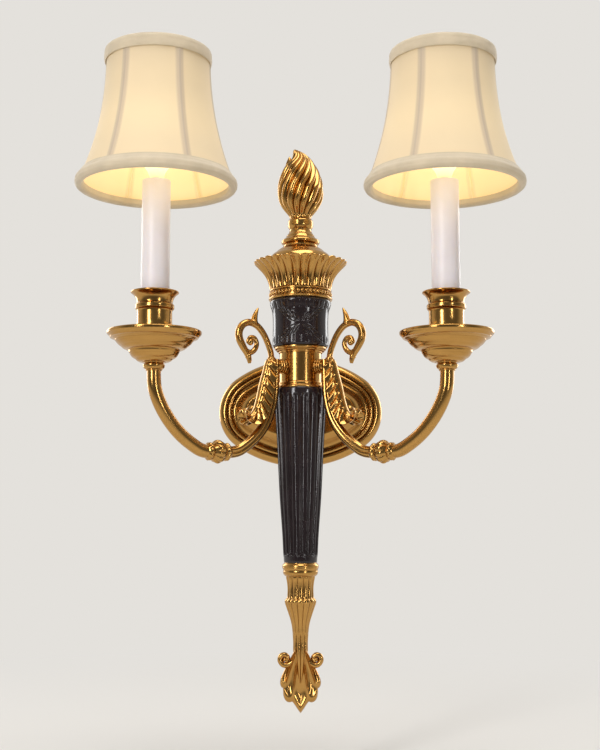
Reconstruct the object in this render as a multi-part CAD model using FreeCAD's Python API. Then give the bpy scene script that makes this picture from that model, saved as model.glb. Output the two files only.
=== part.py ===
"""Double arm wall sconce: a gilt and black column on an oval wall plate, with two scrolled arms.

Millimetres. The wall is the plane y = 0 and the front faces -Y. The origin is the middle of the
mounting bar's slots, on the wall. +Z is up. One STEP file is written for each piece.
"""
import FreeCAD
import Part
import math
import os
from FreeCAD import Vector

# ---------------------------------------------------------------- driving dimensions
COLUMN_STANDOFF = 75.0       # wall to the column's axis
ARM_TURN = 36.0              # arms stand this many degrees forward of the wall's plane
ARM_REACH = 167.7            # column's axis to the candle's axis, along the arm

PLATE_WIDTH = 173.0
PLATE_HEIGHT = 115.0
PLATE_END_RADIUS = 44.0      # the oval's end arcs
PLATE_SHEET = 1.5
PLATE_CROWN = 20.0           # wall to the raised middle's face
STUD_HALF_SPACING = 51.0
STUD_RADIUS = 2.0
SLOT_HALF_SPACING = 35.0
SLOT_LENGTH = 16.0
SLOT_HALF_WIDTH = 2.25
BAR_LENGTH = 118.0
BAR_WIDTH = 20.0
BAR_SHEET = 2.5

HUB_BOTTOM = 17.2
HUB_TOP = 59.3
HUB_RADIUS = 21.2
HUB_RING_RADIUS = 25.7
BOSS_HEIGHT = 38.5           # where the arms and the wall neck meet the hub
DRUM_RADIUS = 28.3
DRUM_TOP = 107.0
BAND_TOP = 118.0
BAND_RADIUS = 32.2
CROWN_RIM = 145.5
CROWN_LOBES = 28
SHAFT_BOTTOM = -155.4
SHAFT_TOP_RADIUS = 25.7
SHAFT_FOOT_RADIUS = 16.5
SHAFT_FLUTES = 20
FLAME_BOTTOM = 192.3
FLAME_RIBS = 15
ROD_RADIUS = 3.2

TUBE_RADIUS = 6.5
KNOP_HEIGHT = -49.0
KNOP_START = 84.5
KNOP_END = 110.5
NIPPLE_RADIUS = 4.95

PAN_FLOOR = 31.0
PAN_RADIUS = 43.8
SLEEVE_RADIUS = 13.35
SLEEVE_TOP = 203.7
BULB_RADIUS = 17.5
SHADE_TOP_RADIUS = 49.6
SHADE_TOP = 330.0
SHADE_BOTTOM = 195.8
SHADE_FLARE = 334.0          # radius of the bell's curve
SHADE_RIBS = 6
SHADE_SEAM_TURN = 6.0        # first rib, from square to the arm: the ribs stand either side of the front

EASE = 0.05                  # room round a piece that seats in another
GAP = 0.35                   # room between pieces that move apart
TINY = 1e-6

ORIGIN = Vector(0, 0, 0)
UP = Vector(0, 0, 1)


# ---------------------------------------------------------------- shape helpers
def bowed(start, end, rise):
    """An edge in the XZ plane. Its middle stands out by rise, to the right of the way it runs."""
    if abs(rise) < TINY:
        return Part.LineSegment(start, end).toShape()
    run = end - start
    right = Vector(run.z, 0, -run.x).normalize()
    middle = (start + end) * 0.5 + right * rise
    return Part.Arc(start, middle, end).toShape()


def outline_face(corners):
    """A face in the XZ plane. Each corner is (x, z) or (x, z, rise of the edge that leads to it)."""
    edges = []
    here = Vector(corners[0][0], 0, corners[0][1])
    for corner in corners[1:] + [corners[0][:2]]:
        there = Vector(corner[0], 0, corner[1])
        rise = corner[2] if len(corner) == 3 else 0
        if here.distanceToPoint(there) > TINY:
            edges.append(bowed(here, there, rise))
        here = there
    return Part.Face(Part.Wire(edges))


def turned(corners, degrees=360):
    """A solid turned about Z. The outline runs up the outside, so that a rise above 0 is a swelling."""
    return outline_face(corners).revolve(ORIGIN, UP, degrees)


def rounded_runs(points, share):
    """A path of straight runs joined by tangent arcs, each as large as its two runs allow.

    Yields (way,) for a straight run, and (centre, axis, degrees) for an arc.
    """
    here = points[0]
    for before, corner, after in zip(points, points[1:], points[2:]):
        way_in = corner - before
        way_out = after - corner
        cut = share * min(way_in.Length, way_out.Length)
        way_in.normalize()
        way_out.normalize()
        turn = way_in.getAngle(way_out)
        radius = cut / math.tan(turn / 2)
        start = corner - way_in * cut
        axis = way_in.cross(way_out).normalize()
        centre = start + axis.cross(way_in) * radius
        if here.distanceToPoint(start) > TINY:
            yield (start - here,)
        yield centre, axis, math.degrees(turn)
        here = corner + way_out * cut
    if here.distanceToPoint(points[-1]) > TINY:
        yield (points[-1] - here,)


def swept(section, points, share=0.48):
    """A solid whose closed section, drawn square to the path's start, follows the rounded path."""
    faces = [Part.Face(section)]
    for run in rounded_runs(points, share):
        if len(run) == 1:
            faces += [edge.extrude(run[0]) for edge in section.Edges]
            section = section.copy()
            section.translate(run[0])
        else:
            faces += [edge.revolve(*run) for edge in section.Edges]
            section = section.copy()
            section.rotate(*run)
    faces.append(Part.Face(section))
    shell = Part.makeShell(faces)
    shell.sewShape()
    solid = Part.makeSolid(shell)
    if solid.Volume < 0:
        solid.reverse()
    return solid


def rod_along(points, radius, share=0.48):
    """A round bar whose middle follows the points."""
    ring = Part.Circle(points[0], points[1] - points[0], radius)
    return swept(Part.Wire(ring.toShape()), points, share)


def in_plane(pairs):
    """Points (x, z) of the XZ plane."""
    return [Vector(x, 0, z) for x, z in pairs]


def lobed_wire(height, node_radius, middle_radius, count, turn=0.0):
    """A closed ring of arcs at one height: nodes at one radius, the arcs' middles at the other."""
    step = 2 * math.pi / count
    edges = []
    for k in range(count):
        angles = [turn + step * (k + part) for part in (0, 0.5, 1)]
        radii = (node_radius, middle_radius, node_radius)
        start, middle, end = [
            Vector(r * math.cos(a), r * math.sin(a), height) for r, a in zip(radii, angles)
        ]
        edges.append(Part.Arc(start, middle, end).toShape())
    return Part.Wire(edges)


def faceted(rings, capped=False):
    """A closed solid of small flat faces between rings of points.

    The last ring joins back to the first. Where the solid is capped, the first half of each end ring
    is joined across to its second half instead.
    """
    count = len(rings[0])
    points = [tuple(point) for ring in rings for point in ring]
    rows = len(rings) - 1 if capped else len(rings)
    quads = []
    for row in range(rows):
        above = (row + 1) % len(rings)
        for k in range(count):
            beside = (k + 1) % count
            quads.append((row * count + k, row * count + beside, above * count + beside, above * count + k))
    if capped:
        last = rows * count
        for k in range(count // 2 - 1):
            across = count - 1 - k
            quads.append((k + 1, k, across, across - 1))
            quads.append((last + k, last + k + 1, last + across - 1, last + across))
    triangles = []
    for a, b, c, d in quads:
        triangles += [(a, b, c), (a, c, d)]
    skin = Part.Shape()
    skin.makeShapeFromMesh((points, triangles), TINY)
    solid = Part.makeSolid(skin)
    if solid.Volume < 0:
        solid.reverse()
    return solid


def between(rows, position):
    """The other numbers of a row at a position, in rows that are sorted by their first number."""
    for low, high in zip(rows, rows[1:]):
        if position <= high[0]:
            share = (position - low[0]) / (high[0] - low[0])
            return [a + (b - a) * share for a, b in zip(low[1:], high[1:])]
    return list(rows[-1][1:])


def ring_at(height, radii, angles):
    """Points round Z at one height."""
    return [Vector(r * math.cos(a), r * math.sin(a), height) for r, a in zip(radii, angles)]


def round_about(shape, count, first=0.0):
    """Copies of a shape, evenly spaced about Z."""
    copies = []
    for k in range(count):
        copy = shape.copy()
        copy.rotate(ORIGIN, UP, first + 360.0 * k / count)
        copies.append(copy)
    return copies


def drilled(shape, radius, bottom, top):
    """The shape with a hole along Z."""
    return shape.cut(Part.makeCylinder(radius, top - bottom, Vector(0, 0, bottom)))


def on_column(shape):
    """Moves a shape made about Z to the column's axis."""
    shape.translate(Vector(0, -COLUMN_STANDOFF, 0))
    return shape


def on_right_arm(shape):
    """Moves a shape made in the XZ plane, with x along the arm, into the right arm's plane."""
    shape.rotate(ORIGIN, UP, -ARM_TURN)
    return on_column(shape)


def mirrored(shape):
    """The left-hand twin."""
    return shape.mirror(ORIGIN, Vector(1, 0, 0))


# ---------------------------------------------------------------- wall side
def oval_sector(profile, centre_x, centre_z, arc_radius, start, sweep):
    """Part of the wall plate: its profile (inset, depth, rise) turned about one of the oval's arcs."""
    corners = [(arc_radius - step[0], step[1]) + tuple(step[2:]) for step in profile]
    sector = outline_face(corners).revolve(ORIGIN, UP, sweep)
    sector.rotate(ORIGIN, UP, start)
    sector.rotate(ORIGIN, Vector(1, 0, 0), 90)
    sector.translate(Vector(centre_x, 0, centre_z))
    return sector


def backplate():
    """Spun oval plate: stepped rim, a cove, and a raised middle, all one sheet."""
    half_width = PLATE_WIDTH / 2
    half_height = PLATE_HEIGHT / 2
    end_centre = half_width - PLATE_END_RADIUS
    excess = half_height - PLATE_END_RADIUS
    side_centre = (end_centre**2 - excess**2) / (2 * excess)
    side_radius = half_height + side_centre
    end_sweep = 2 * math.degrees(math.atan2(side_centre, end_centre))
    inset = PLATE_END_RADIUS
    profile = [
        (0, 0),
        (0, 2.5),
        (6.8, 8.6, 1.5),
        (8.0, 8.6),
        (8.8, 7.4),
        (13.6, 9.6, 1.2),
        (14.4, 8.8),
        (18.0, 8.2, -1.3),
        (30.0, PLATE_CROWN - 0.3, 1.6),
        (31.0, PLATE_CROWN),
        (inset, PLATE_CROWN),
        (inset, PLATE_CROWN - PLATE_SHEET),
        (31.5, PLATE_CROWN - PLATE_SHEET),
        (18.6, 6.4, -1.4),
        (8.0, 6.0),
        (1.5, 2.0, -1.2),
        (1.5, 0),
    ]
    half_end = end_sweep / 2
    side_sweep = 180 - end_sweep
    pieces = [
        oval_sector(profile, end_centre, 0, PLATE_END_RADIUS, -half_end, end_sweep),
        oval_sector(profile, -end_centre, 0, PLATE_END_RADIUS, 180 - half_end, end_sweep),
        oval_sector(profile, 0, -side_centre, side_radius, half_end, side_sweep),
        oval_sector(profile, 0, side_centre, side_radius, 180 + half_end, side_sweep),
    ]
    lens_height = side_radius - inset - side_centre
    tips = [Vector(end_centre, 0, 0), Vector(-end_centre, 0, 0)]
    lens = Part.Wire([
        Part.Arc(tips[0], Vector(0, 0, lens_height), tips[1]).toShape(),
        Part.Arc(tips[1], Vector(0, 0, -lens_height), tips[0]).toShape(),
    ])
    middle = Part.Face(lens).extrude(Vector(0, -PLATE_SHEET, 0))
    middle.translate(Vector(0, PLATE_SHEET - PLATE_CROWN, 0))
    plate = pieces[0].fuse(pieces[1:] + [middle])
    holes = [(0, TUBE_RADIUS + EASE), (-STUD_HALF_SPACING, 2.3), (STUD_HALF_SPACING, 2.3)]
    for x, radius in holes:
        plate = plate.cut(Part.makeCylinder(radius, 40, Vector(x, 5, 0), Vector(0, -1, 0)))
    return plate.removeSplitter()


def mounting_crossbar():
    """Pressed steel bar: two slots for the wall box, two tapped holes and a hole for the wires."""
    half = BAR_LENGTH / 2 - BAR_WIDTH / 2
    bar = Part.makeBox(2 * half, BAR_SHEET, BAR_WIDTH, Vector(-half, -BAR_SHEET, -BAR_WIDTH / 2))
    along_y = Vector(0, 1, 0)
    for side in (-1, 1):
        foot = Vector(side * half, -BAR_SHEET, 0)
        bar = bar.fuse(Part.makeCylinder(BAR_WIDTH / 2, BAR_SHEET, foot, along_y))
    reach = SLOT_LENGTH / 2 - SLOT_HALF_WIDTH
    cuts = [Part.makeCylinder(6, 10, Vector(0, -5, 0), along_y)]
    for side in (-1, 1):
        x = side * SLOT_HALF_SPACING
        corner = Vector(x - reach, -5, -SLOT_HALF_WIDTH)
        cuts.append(Part.makeBox(2 * reach, 10, 2 * SLOT_HALF_WIDTH, corner))
        for end in (-reach, reach):
            cuts.append(Part.makeCylinder(SLOT_HALF_WIDTH, 10, Vector(x + end, -5, 0), along_y))
        stud_hole = Vector(side * STUD_HALF_SPACING, -5, 0)
        cuts.append(Part.makeCylinder(STUD_RADIUS + EASE, 10, stud_hole, along_y))
    for cut in cuts:
        bar = bar.cut(cut)
    return bar.removeSplitter()


def crossbar_studs():
    """Two studs from the bar, through the plate, into the ball nuts."""
    length = PLATE_CROWN + 7
    return Part.makeCompound([
        Part.makeCylinder(STUD_RADIUS, length, Vector(side * STUD_HALF_SPACING, 0, 0), Vector(0, -1, 0))
        for side in (-1, 1)
    ])


def ball_cap_nuts():
    """Two ball nuts with a foot, tapped half way."""
    foot = turned([(0, 0), (4.6, 0), (4.6, 1.2, 0.3), (3.0, 2.4, -0.4), (3.0, 4.0), (0, 4.0)])
    nut = drilled(foot.fuse(Part.makeSphere(5.4, Vector(0, 0, 7.2))), STUD_RADIUS + EASE, -1, 8.0)
    nut.rotate(ORIGIN, Vector(1, 0, 0), 90)
    nuts = []
    for side in (-1, 1):
        copy = nut.copy()
        copy.translate(Vector(side * STUD_HALF_SPACING, -PLATE_CROWN, 0))
        nuts.append(copy)
    return Part.makeCompound(nuts)


def neck_middle_points():
    """The neck leaves the plate square, rises behind the column and meets the hub's back square."""
    hub_back = -COLUMN_STANDOFF + HUB_RADIUS
    return [
        Vector(0, -PLATE_CROWN + 8, 0),
        Vector(0, -PLATE_CROWN - 17.5, 0),
        Vector(0, hub_back + 12, BOSS_HEIGHT),
        Vector(0, hub_back - 10, BOSS_HEIGHT),
    ]


def wall_neck():
    """Curved tube from the plate to the hub, with a bore for the wires."""
    points = neck_middle_points()
    neck = rod_along(points, TUBE_RADIUS).cut(rod_along(points, TUBE_RADIUS - 1.5))
    hub = on_column(Part.makeCylinder(HUB_RADIUS + EASE, 60, Vector(0, 0, 10)))
    return neck.cut(hub)


def neck_rosette():
    """Turned collar that covers the neck's hole in the plate."""
    collar = turned([
        (TUBE_RADIUS + EASE, 0),
        (15, 0),
        (15, 1.6),
        (10.4, 2.6, -0.6),
        (10.4, 3.8, 0.5),
        (TUBE_RADIUS + EASE, 4.2),
    ])
    collar.rotate(ORIGIN, Vector(1, 0, 0), 90)
    collar.translate(Vector(0, -PLATE_CROWN, 0))
    return collar


def neck_locknut():
    """Hexagon nut on the neck's end, behind the plate."""
    across_corners = 11.5
    thickness = 4.0
    turns = [math.radians(60 * k) for k in range(7)]
    corners = [Vector(across_corners * math.cos(a), 0, across_corners * math.sin(a)) for a in turns]
    nut = Part.Face(Part.makePolygon(corners)).extrude(Vector(0, thickness, 0))
    nut.translate(Vector(0, -PLATE_CROWN + PLATE_SHEET, 0))
    return nut.cut(Part.makeCylinder(TUBE_RADIUS + EASE, 20, Vector(0, -30, 0), Vector(0, 1, 0)))


# ---------------------------------------------------------------- column
def tie_rod():
    """Threaded rod that clamps the column's pieces."""
    bottom = -205
    return Part.makeCylinder(ROD_RADIUS, 205 - bottom, Vector(0, 0, bottom))


def arm_hub():
    """Polished hub with a ring at each end."""
    bore = ROD_RADIUS + EASE
    return turned([
        (bore, HUB_BOTTOM),
        (25.2, HUB_BOTTOM),
        (25.2, 19.0, 0.5),
        (22.4, 20.2, -0.4),
        (22.4, 23.0, 0.8),
        (HUB_RADIUS, 24.0, -0.3),
        (HUB_RADIUS, 52.6),
        (24.2, 54.6, -0.8),
        (24.2, 56.0),
        (HUB_RING_RADIUS, 56.8, 0.2),
        (HUB_RING_RADIUS, HUB_TOP, 0.5),
        (bore, HUB_TOP),
    ])


def upper_drum():
    """Black drum with a flared top edge."""
    bore = ROD_RADIUS + EASE
    return turned([
        (bore, HUB_TOP),
        (DRUM_RADIUS - 1.2, HUB_TOP),
        (DRUM_RADIUS, HUB_TOP + 1.8, 0.4),
        (DRUM_RADIUS, 93.0),
        (31.0, 101.5, -1.0),
        (31.0, 104.5, 0.5),
        (29.6, DRUM_TOP, 0.3),
        (bore, DRUM_TOP),
    ])


def beaded_band():
    """Ring under the crown: two fillets and a round moulding between them."""
    bore = ROD_RADIUS + EASE
    edge = BAND_RADIUS
    return turned([
        (bore, DRUM_TOP),
        (edge - 0.8, DRUM_TOP),
        (edge, DRUM_TOP + 0.8, 0.2),
        (edge, DRUM_TOP + 2.2, 0.2),
        (edge - 1.2, DRUM_TOP + 2.8),
        (edge - 1.2, BAND_TOP - 2.6, 0.9),
        (edge - 0.6, BAND_TOP - 2.0),
        (edge - 0.9, BAND_TOP, 0.5),
        (bore, BAND_TOP),
    ])


def crown():
    """Flared crown of convex leaves with a scalloped lip, hollowed round the dome's seat."""
    # height, valley radius, crest radius
    rings = [
        (BAND_TOP, 30.4, 31.2),
        (121.5, 30.4, 31.6),
        (125.5, 30.9, 32.4),
        (129.5, 32.0, 33.8),
        (133.5, 34.0, 36.0),
        (137.0, 36.4, 38.8),
        (140.0, 39.2, 41.8),
        (143.0, 42.6, 45.2),
        (144.8, 44.6, 47.2),
        (CROWN_RIM, 45.0, 47.6),
    ]
    wires = [lobed_wire(z, valley, crest, CROWN_LOBES) for z, valley, crest in rings]
    body = Part.makeLoft(wires, True, True)
    hollow = turned([
        (0, 144.0),
        (33.5, 144.0),
        (33.5, 139.0),
        (35.4, 138.2, -0.3),
        (43.4, CROWN_RIM, -0.9),
        (43.8, CROWN_RIM + 4),
        (0, CROWN_RIM + 4),
    ])
    return drilled(body.cut(hollow), ROD_RADIUS + EASE, 100, 150)


def crown_dome():
    """Smooth cap inside the crown."""
    bore = ROD_RADIUS + EASE
    return turned([
        (bore, 144.0),
        (33.2, 144.0),
        (33.2, 146.4),
        (32.0, 147.6, 0.3),
        (17.6, 162.4, 3.6),
        (17.6, 163.4),
        (bore, 163.4),
    ])


def finial_foot():
    """Ring, flare and ball under the flame."""
    bore = ROD_RADIUS + EASE
    return turned([
        (bore, 163.4),
        (16.6, 163.4),
        (16.6, 164.6),
        (18.6, 165.6, -0.3),
        (18.6, 169.4, 0.8),
        (17.2, 170.2),
        (11.0, 180.2, -1.8),
        (11.6, 181.4),
        (11.6, 191.2, 1.6),
        (10.8, FLAME_BOTTOM),
        (bore, FLAME_BOTTOM),
    ])


def flame_finial():
    """Twisted flame: ribs that rise nearly straight at the foot and lean over towards the tip."""
    # height, rib radius, degrees of twist, lean of the tip
    levels = [
        (FLAME_BOTTOM, 11.4, 0, 0),
        (196.0, 13.0, 0, 0),
        (200.0, 16.2, 1, 0),
        (204.5, 19.4, 4, 0),
        (209.5, 21.8, 8, 0),
        (215.5, 23.2, 13, 0),
        (222.0, 23.5, 20, 0),
        (228.5, 22.9, 29, 0),
        (235.0, 21.5, 38, 0),
        (241.5, 19.0, 48, 0),
        (247.5, 15.6, 58, 0.2),
        (251.5, 12.6, 65, 0.6),
        (255.5, 9.6, 72, 0.4),
        (259.0, 7.2, 78, -1.0),
        (262.0, 4.8, 83, -3.2),
        (264.5, 2.0, 87, -5.4),
    ]
    depth = 0.11
    wires = []
    for z, radius, twist, lean in levels:
        wire = lobed_wire(z, radius * (1 - depth), radius, FLAME_RIBS, math.radians(twist))
        wire.translate(Vector(lean, 0, 0))
        wires.append(wire)
    body = Part.makeLoft(wires, True, True)
    # the side tongue, whose tip stands free of the main one
    tongue = Part.makeLoft([
        Part.Wire(Part.Circle(Vector(x, y, z), Vector(-0.2, 0, 1), radius).toShape())
        for x, y, z, radius in [(-10.0, -1, 237, 5.4), (-10.6, -1, 247, 4.0), (-11.2, -1, 256.0, 1.1)]
    ], True, False)
    return drilled(body.fuse(tongue), ROD_RADIUS + EASE, FLAME_BOTTOM - 1, 206)


def shaft_radius(height):
    """The black shaft's radius: a straight taper with a slight swelling."""
    share = (height - SHAFT_BOTTOM) / (HUB_BOTTOM - SHAFT_BOTTOM)
    swelling = 0.5 * math.sin(math.pi * share)
    return SHAFT_FOOT_RADIUS + (SHAFT_TOP_RADIUS - SHAFT_FOOT_RADIUS) * share + swelling


def fluted_column():
    """Black tapering shaft with round-ended flutes."""
    half_flute = math.radians(0.41 * 360 / SHAFT_FLUTES)
    depth = 1.3
    spread = (-1, -0.5, 0, 0.5, 1)
    hollow = (0, 0.75, 1, 0.75, 0)
    bottom = SHAFT_BOTTOM + 6
    top = HUB_BOTTOM - 6
    # height, how far the flute has opened: 0 plain, 1 its whole width and depth
    levels = [(SHAFT_BOTTOM + 1.2, 0), (bottom, 0.15), (bottom + 0.7, 0.7), (bottom + 2.6, 1)]
    levels += [(bottom + (top - bottom) * share, 1) for share in (0.25, 0.5, 0.75)]
    levels += [(top - 3.6, 1), (top - 0.9, 0.7), (top, 0.15), (HUB_BOTTOM - 1.6, 0)]

    def ring(height, radius, opening):
        angles = []
        radii = []
        for k in range(SHAFT_FLUTES):
            middle = math.radians(90) + 2 * math.pi * k / SHAFT_FLUTES
            angles += [middle + half_flute * max(opening, 0.15) * part for part in spread]
            radii += [radius - depth * opening * part for part in hollow]
        return ring_at(height, radii, angles)

    bore = ROD_RADIUS + 2 * EASE
    rings = [ring(SHAFT_BOTTOM, bore, 0), ring(SHAFT_BOTTOM, SHAFT_FOOT_RADIUS - 0.8, 0)]
    rings += [ring(height, shaft_radius(height), opening) for height, opening in levels]
    rings += [ring(HUB_BOTTOM, SHAFT_TOP_RADIUS - 1.0, 0), ring(HUB_BOTTOM, bore, 0)]
    return faceted(rings)


def lower_collar():
    """Gilt ring under the shaft: a bold bead over a narrow one."""
    bore = ROD_RADIUS + EASE
    return turned([
        (bore, -168.6),
        (14.6, -168.6),
        (16.0, -167.4, 0.3),
        (16.0, -164.8, 0.6),
        (15.6, -164.2),
        (17.0, -163.0, 0.3),
        (17.0, -157.2, 1.0),
        (16.0, SHAFT_BOTTOM, 0.3),
        (bore, SHAFT_BOTTOM),
    ])


def lower_baluster():
    """Fluted neck, shoulder and fluted taper."""
    flutes = 14
    # height, ridge radius, flute radius
    rings = [
        (-222.8, 8.0, 7.3),
        (-217.5, 8.6, 7.7),
        (-211.5, 9.9, 8.8),
        (-205.0, 12.0, 10.7),
        (-198.5, 14.3, 12.9),
        (-194.6, 15.6, 14.3),
        (-192.6, 15.8, 15.0),
        (-190.8, 15.0, 14.5),
        (-189.6, 13.9, 13.5),
    ]
    taper = Part.makeLoft([lobed_wire(*ring, flutes) for ring in rings], True, True)
    neck_rings = [
        (-189.6, 13.6, 12.6),
        (-184.5, 13.1, 12.0),
        (-179.0, 13.0, 11.8),
        (-173.5, 13.4, 12.2),
        (-168.6, 14.3, 13.2),
    ]
    neck = Part.makeLoft([lobed_wire(*ring, flutes) for ring in neck_rings], True, True)
    body = taper.fuse(neck)
    return drilled(body, ROD_RADIUS + EASE, -230, -160)


def palmette_fan():
    """Fan of five hollowed lobes, alike front and back, with a ridge between each two."""
    root = -228.0
    # degrees from straight down, reach from the root
    rim = [
        (0, 72.5), (2.5, 67.4), (4.7, 62.6), (5.7, 60.9), (6.7, 61.5), (7.9, 61.3), (9.0, 61.0),
        (11.5, 59.6), (12.8, 58.5), (14.0, 57.3), (16.5, 54.0), (18.3, 51.4), (19.3, 51.0), (20.6, 50.2),
        (22.0, 48.4), (23.0, 45.0), (23.6, 41.0),
    ]
    # degrees at which the ridges between the lobes stand
    ridges = (-5.7, 5.7, 18.3, 23.6)
    # share of the reach, half thickness, depth of the hollows, rise of the curled ends
    runs = [
        (0.20, 7.0, 0.3, 0), (0.30, 5.6, 0.8, 0), (0.40, 4.4, 1.1, 0), (0.50, 3.6, 1.3, 0),
        (0.60, 3.1, 1.4, 0), (0.70, 2.8, 1.5, 0), (0.78, 2.6, 1.6, 0.1), (0.85, 2.5, 1.5, 0.7),
        (0.90, 2.4, 1.2, 1.3), (0.94, 2.2, 0.9, 1.4), (0.975, 1.8, 0.5, 0.8), (1.0, 0.7, 0, 0),
    ]
    angles = [angle for angle, _ in rim]
    angles = [-angle for angle in angles[:0:-1]] + angles
    rings = []
    for share, half, depth, curl in runs:
        front = []
        for angle in angles:
            reach = between(rim, abs(angle))[0] * share
            low, high = [pair for pair in zip(ridges, ridges[1:]) if abs(angle) <= pair[1]][0]
            across = (2 * abs(angle) - low - high) / (high - low)
            thick = half + (curl - depth) * (1 - across**2)
            turn = math.radians(angle)
            front.append(Vector(reach * math.sin(turn), -thick, root - reach * math.cos(turn)))
        rings.append(front + [Vector(point.x, -point.y, point.z) for point in front[::-1]])
    return faceted(rings, capped=True)


def palmette_drop():
    """Cast palmette: a waisted stem, a fan of lobes with a pointed middle one, and two volutes."""
    stem = turned([
        (0, -250.0),
        (4.0, -250.0),
        (7.2, -240.0, 0.8),
        (7.8, -227.2, -0.6),
        (8.2, -226.4),
        (8.2, -224.4, 0.6),
        (7.8, -222.8),
        (0, -222.8),
    ])
    volute = rod_along(in_plane([
        (4.0, -248.5), (10.0, -253.8), (16.0, -254.6), (19.8, -250.4), (18.2, -245.4), (13.2, -244.8),
        (11.4, -248.6),
    ]), 2.2)
    volute = volute.fuse(Part.makeSphere(2.6, Vector(14.0, 0, -249.4)))
    return stem.fuse([palmette_fan(), volute, mirrored(volute)])


# ---------------------------------------------------------------- arms, in the XZ plane, x along the arm
def reeded_section(height, x):
    """Section of the channelled arm: three reeds on each face."""
    half_width = 5.1
    half_depth = 2.7
    reed_rise = 1.5
    stops = [-half_width, -half_width / 3, half_width / 3, half_width]
    edges = []
    for face, order in ((-1, stops), (1, stops[::-1])):
        for a, b in zip(order, order[1:]):
            points = [
                Vector(x + a, face * half_depth, height),
                Vector(x + (a + b) / 2, face * (half_depth + reed_rise), height),
                Vector(x + b, face * half_depth, height),
            ]
            edges.append(Part.Arc(*points).toShape())
        side = order[-1]
        bulge = side + math.copysign(0.9, side)
        points = [
            Vector(x + side, face * half_depth, height),
            Vector(x + bulge, 0, height),
            Vector(x + side, -face * half_depth, height),
        ]
        edges.append(Part.Arc(*points).toShape())
    return Part.Wire(edges)


ARM_TOP = 45.0
INNER_ARM_POINTS = [
    (31.8, ARM_TOP), (31.8, 20), (33.5, 3), (39.5, -15.5), (50, -30), (63, -41), (76, KNOP_HEIGHT),
    (KNOP_START, KNOP_HEIGHT),
]
OUTER_ARM_POINTS = [
    (KNOP_END, KNOP_HEIGHT), (114.5, KNOP_HEIGHT), (124.5, -44), (138, -35), (150, -23), (159.5, -9.5),
    (165.6, 3.5), (ARM_REACH, 14), (ARM_REACH, 29),
]


def inner_arm():
    """Cast arm with three reeds a side, from the boss down to the knop."""
    section = reeded_section(ARM_TOP, INNER_ARM_POINTS[0][0])
    return swept(section, in_plane(INNER_ARM_POINTS))


def arm_boss(arm):
    """Ringed boss between the hub and the arm."""
    boss = turned([
        (0, 18),
        (7.6, 18),
        (7.6, 22.4),
        (6.6, 22.9),
        (6.6, 24.9, 0.8),
        (6.0, 25.4),
        (6.0, 27.4, 0.8),
        (5.4, 28.0),
        (5.0, 32),
        (0, 32),
    ])
    boss.rotate(ORIGIN, Vector(0, 1, 0), 90)
    boss.translate(Vector(0, 0, BOSS_HEIGHT))
    hub = Part.makeCylinder(HUB_RADIUS + EASE, 60, Vector(0, 0, 10))
    return largest(boss.cut(hub).cut(arm))


def largest(shape):
    """The biggest solid of a cut shape."""
    return max(shape.Solids, key=lambda solid: solid.Volume)


def acanthus_leaf(arm, boss):
    """Leaf folded round the arm's root: a raised midrib, ridged lobes along both edges, a curled tip."""
    midrib = Part.BSplineCurve()
    midrib.interpolate(in_plane([
        (35.0, 46.8), (41.0, 42.6), (44.8, 31.0), (48.8, 18.0), (52.0, 5.0), (55.4, -5.0), (60.2, -11.4),
        (64.8, -9.8), (63.4, -5.6),
    ]))
    # share of the length, half width, how far the sides fold back
    widths = [
        (0, 3.4, 4.5), (0.1, 7.0, 10.0), (0.25, 8.8, 15.5), (0.42, 9.4, 18.5), (0.6, 9.0, 18.5),
        (0.74, 7.6, 13.5), (0.86, 5.6, 5.0), (1.0, 2.6, 1.0),
    ]
    lobes = 6
    steps = 44
    thickness = 1.5
    ridge = 1.5
    slant = 0.07                # how far a lobe's edge runs on beyond its root
    sides = [k / 7 for k in range(-7, 8)]
    start = midrib.FirstParameter
    length = midrib.LastParameter - start
    rings = []
    for step in range(steps + 1):
        run = step / steps
        half, fold = between(widths, run)
        wave = abs(math.sin(math.pi * lobes * run)) ** 0.7
        outer = []
        inner = []
        for side in sides:
            bulge = min(1, abs(side) * 2) * ridge * (wave - 0.5)
            shifted = min(1, run + slant * abs(side) ** 1.5 * math.sin(math.pi * run))
            place = midrib.value(start + shifted * length)
            way = midrib.tangent(start + shifted * length)[0]
            out = Vector(-way.z, 0, way.x)
            bend = math.radians(82) * side
            edge = 0.84 + 0.16 * wave
            for skin, inset in ((outer, -bulge), (inner, thickness)):
                skin.append(
                    place
                    + Vector(0, (half * edge - inset) * math.sin(bend), 0)
                    - out * ((fold * edge - inset) * (1 - math.cos(bend)) + inset)
                )
        rings.append(outer + inner[::-1])
    leaf = faceted(rings, capped=True)
    return largest(leaf.cut(arm).cut(boss))


def scroll_handle(arm, leaf):
    """Cast scroll above the arm's root: a crook with an inner volute, a tail and a spur."""
    crook = rod_along(in_plane([
        (36.2, 43.0), (37.8, 58.0), (45.8, 73.5), (58.5, 84.0), (72.0, 84.0), (79.0, 72.0), (76.6, 59.5),
        (68.5, 51.5), (61.5, 46.0), (61.4, 37.6),
    ]), 3.0)
    volute = rod_along(in_plane([
        (68.0, 51.8), (61.5, 46.5), (53.2, 51.0), (51.6, 60.6), (57.6, 67.4), (62.4, 63.2),
    ]), 2.3)
    ball = Part.makeSphere(3.6, Vector(61.0, 0, 62.6))
    spur = Part.makeCone(3.4, 0.6, 13.5, Vector(53.5, 0, 82.2), Vector(-0.05, 0, 1))
    handle = crook.fuse([volute, ball, spur])
    return largest(handle.cut(leaf).cut(arm))


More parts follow.
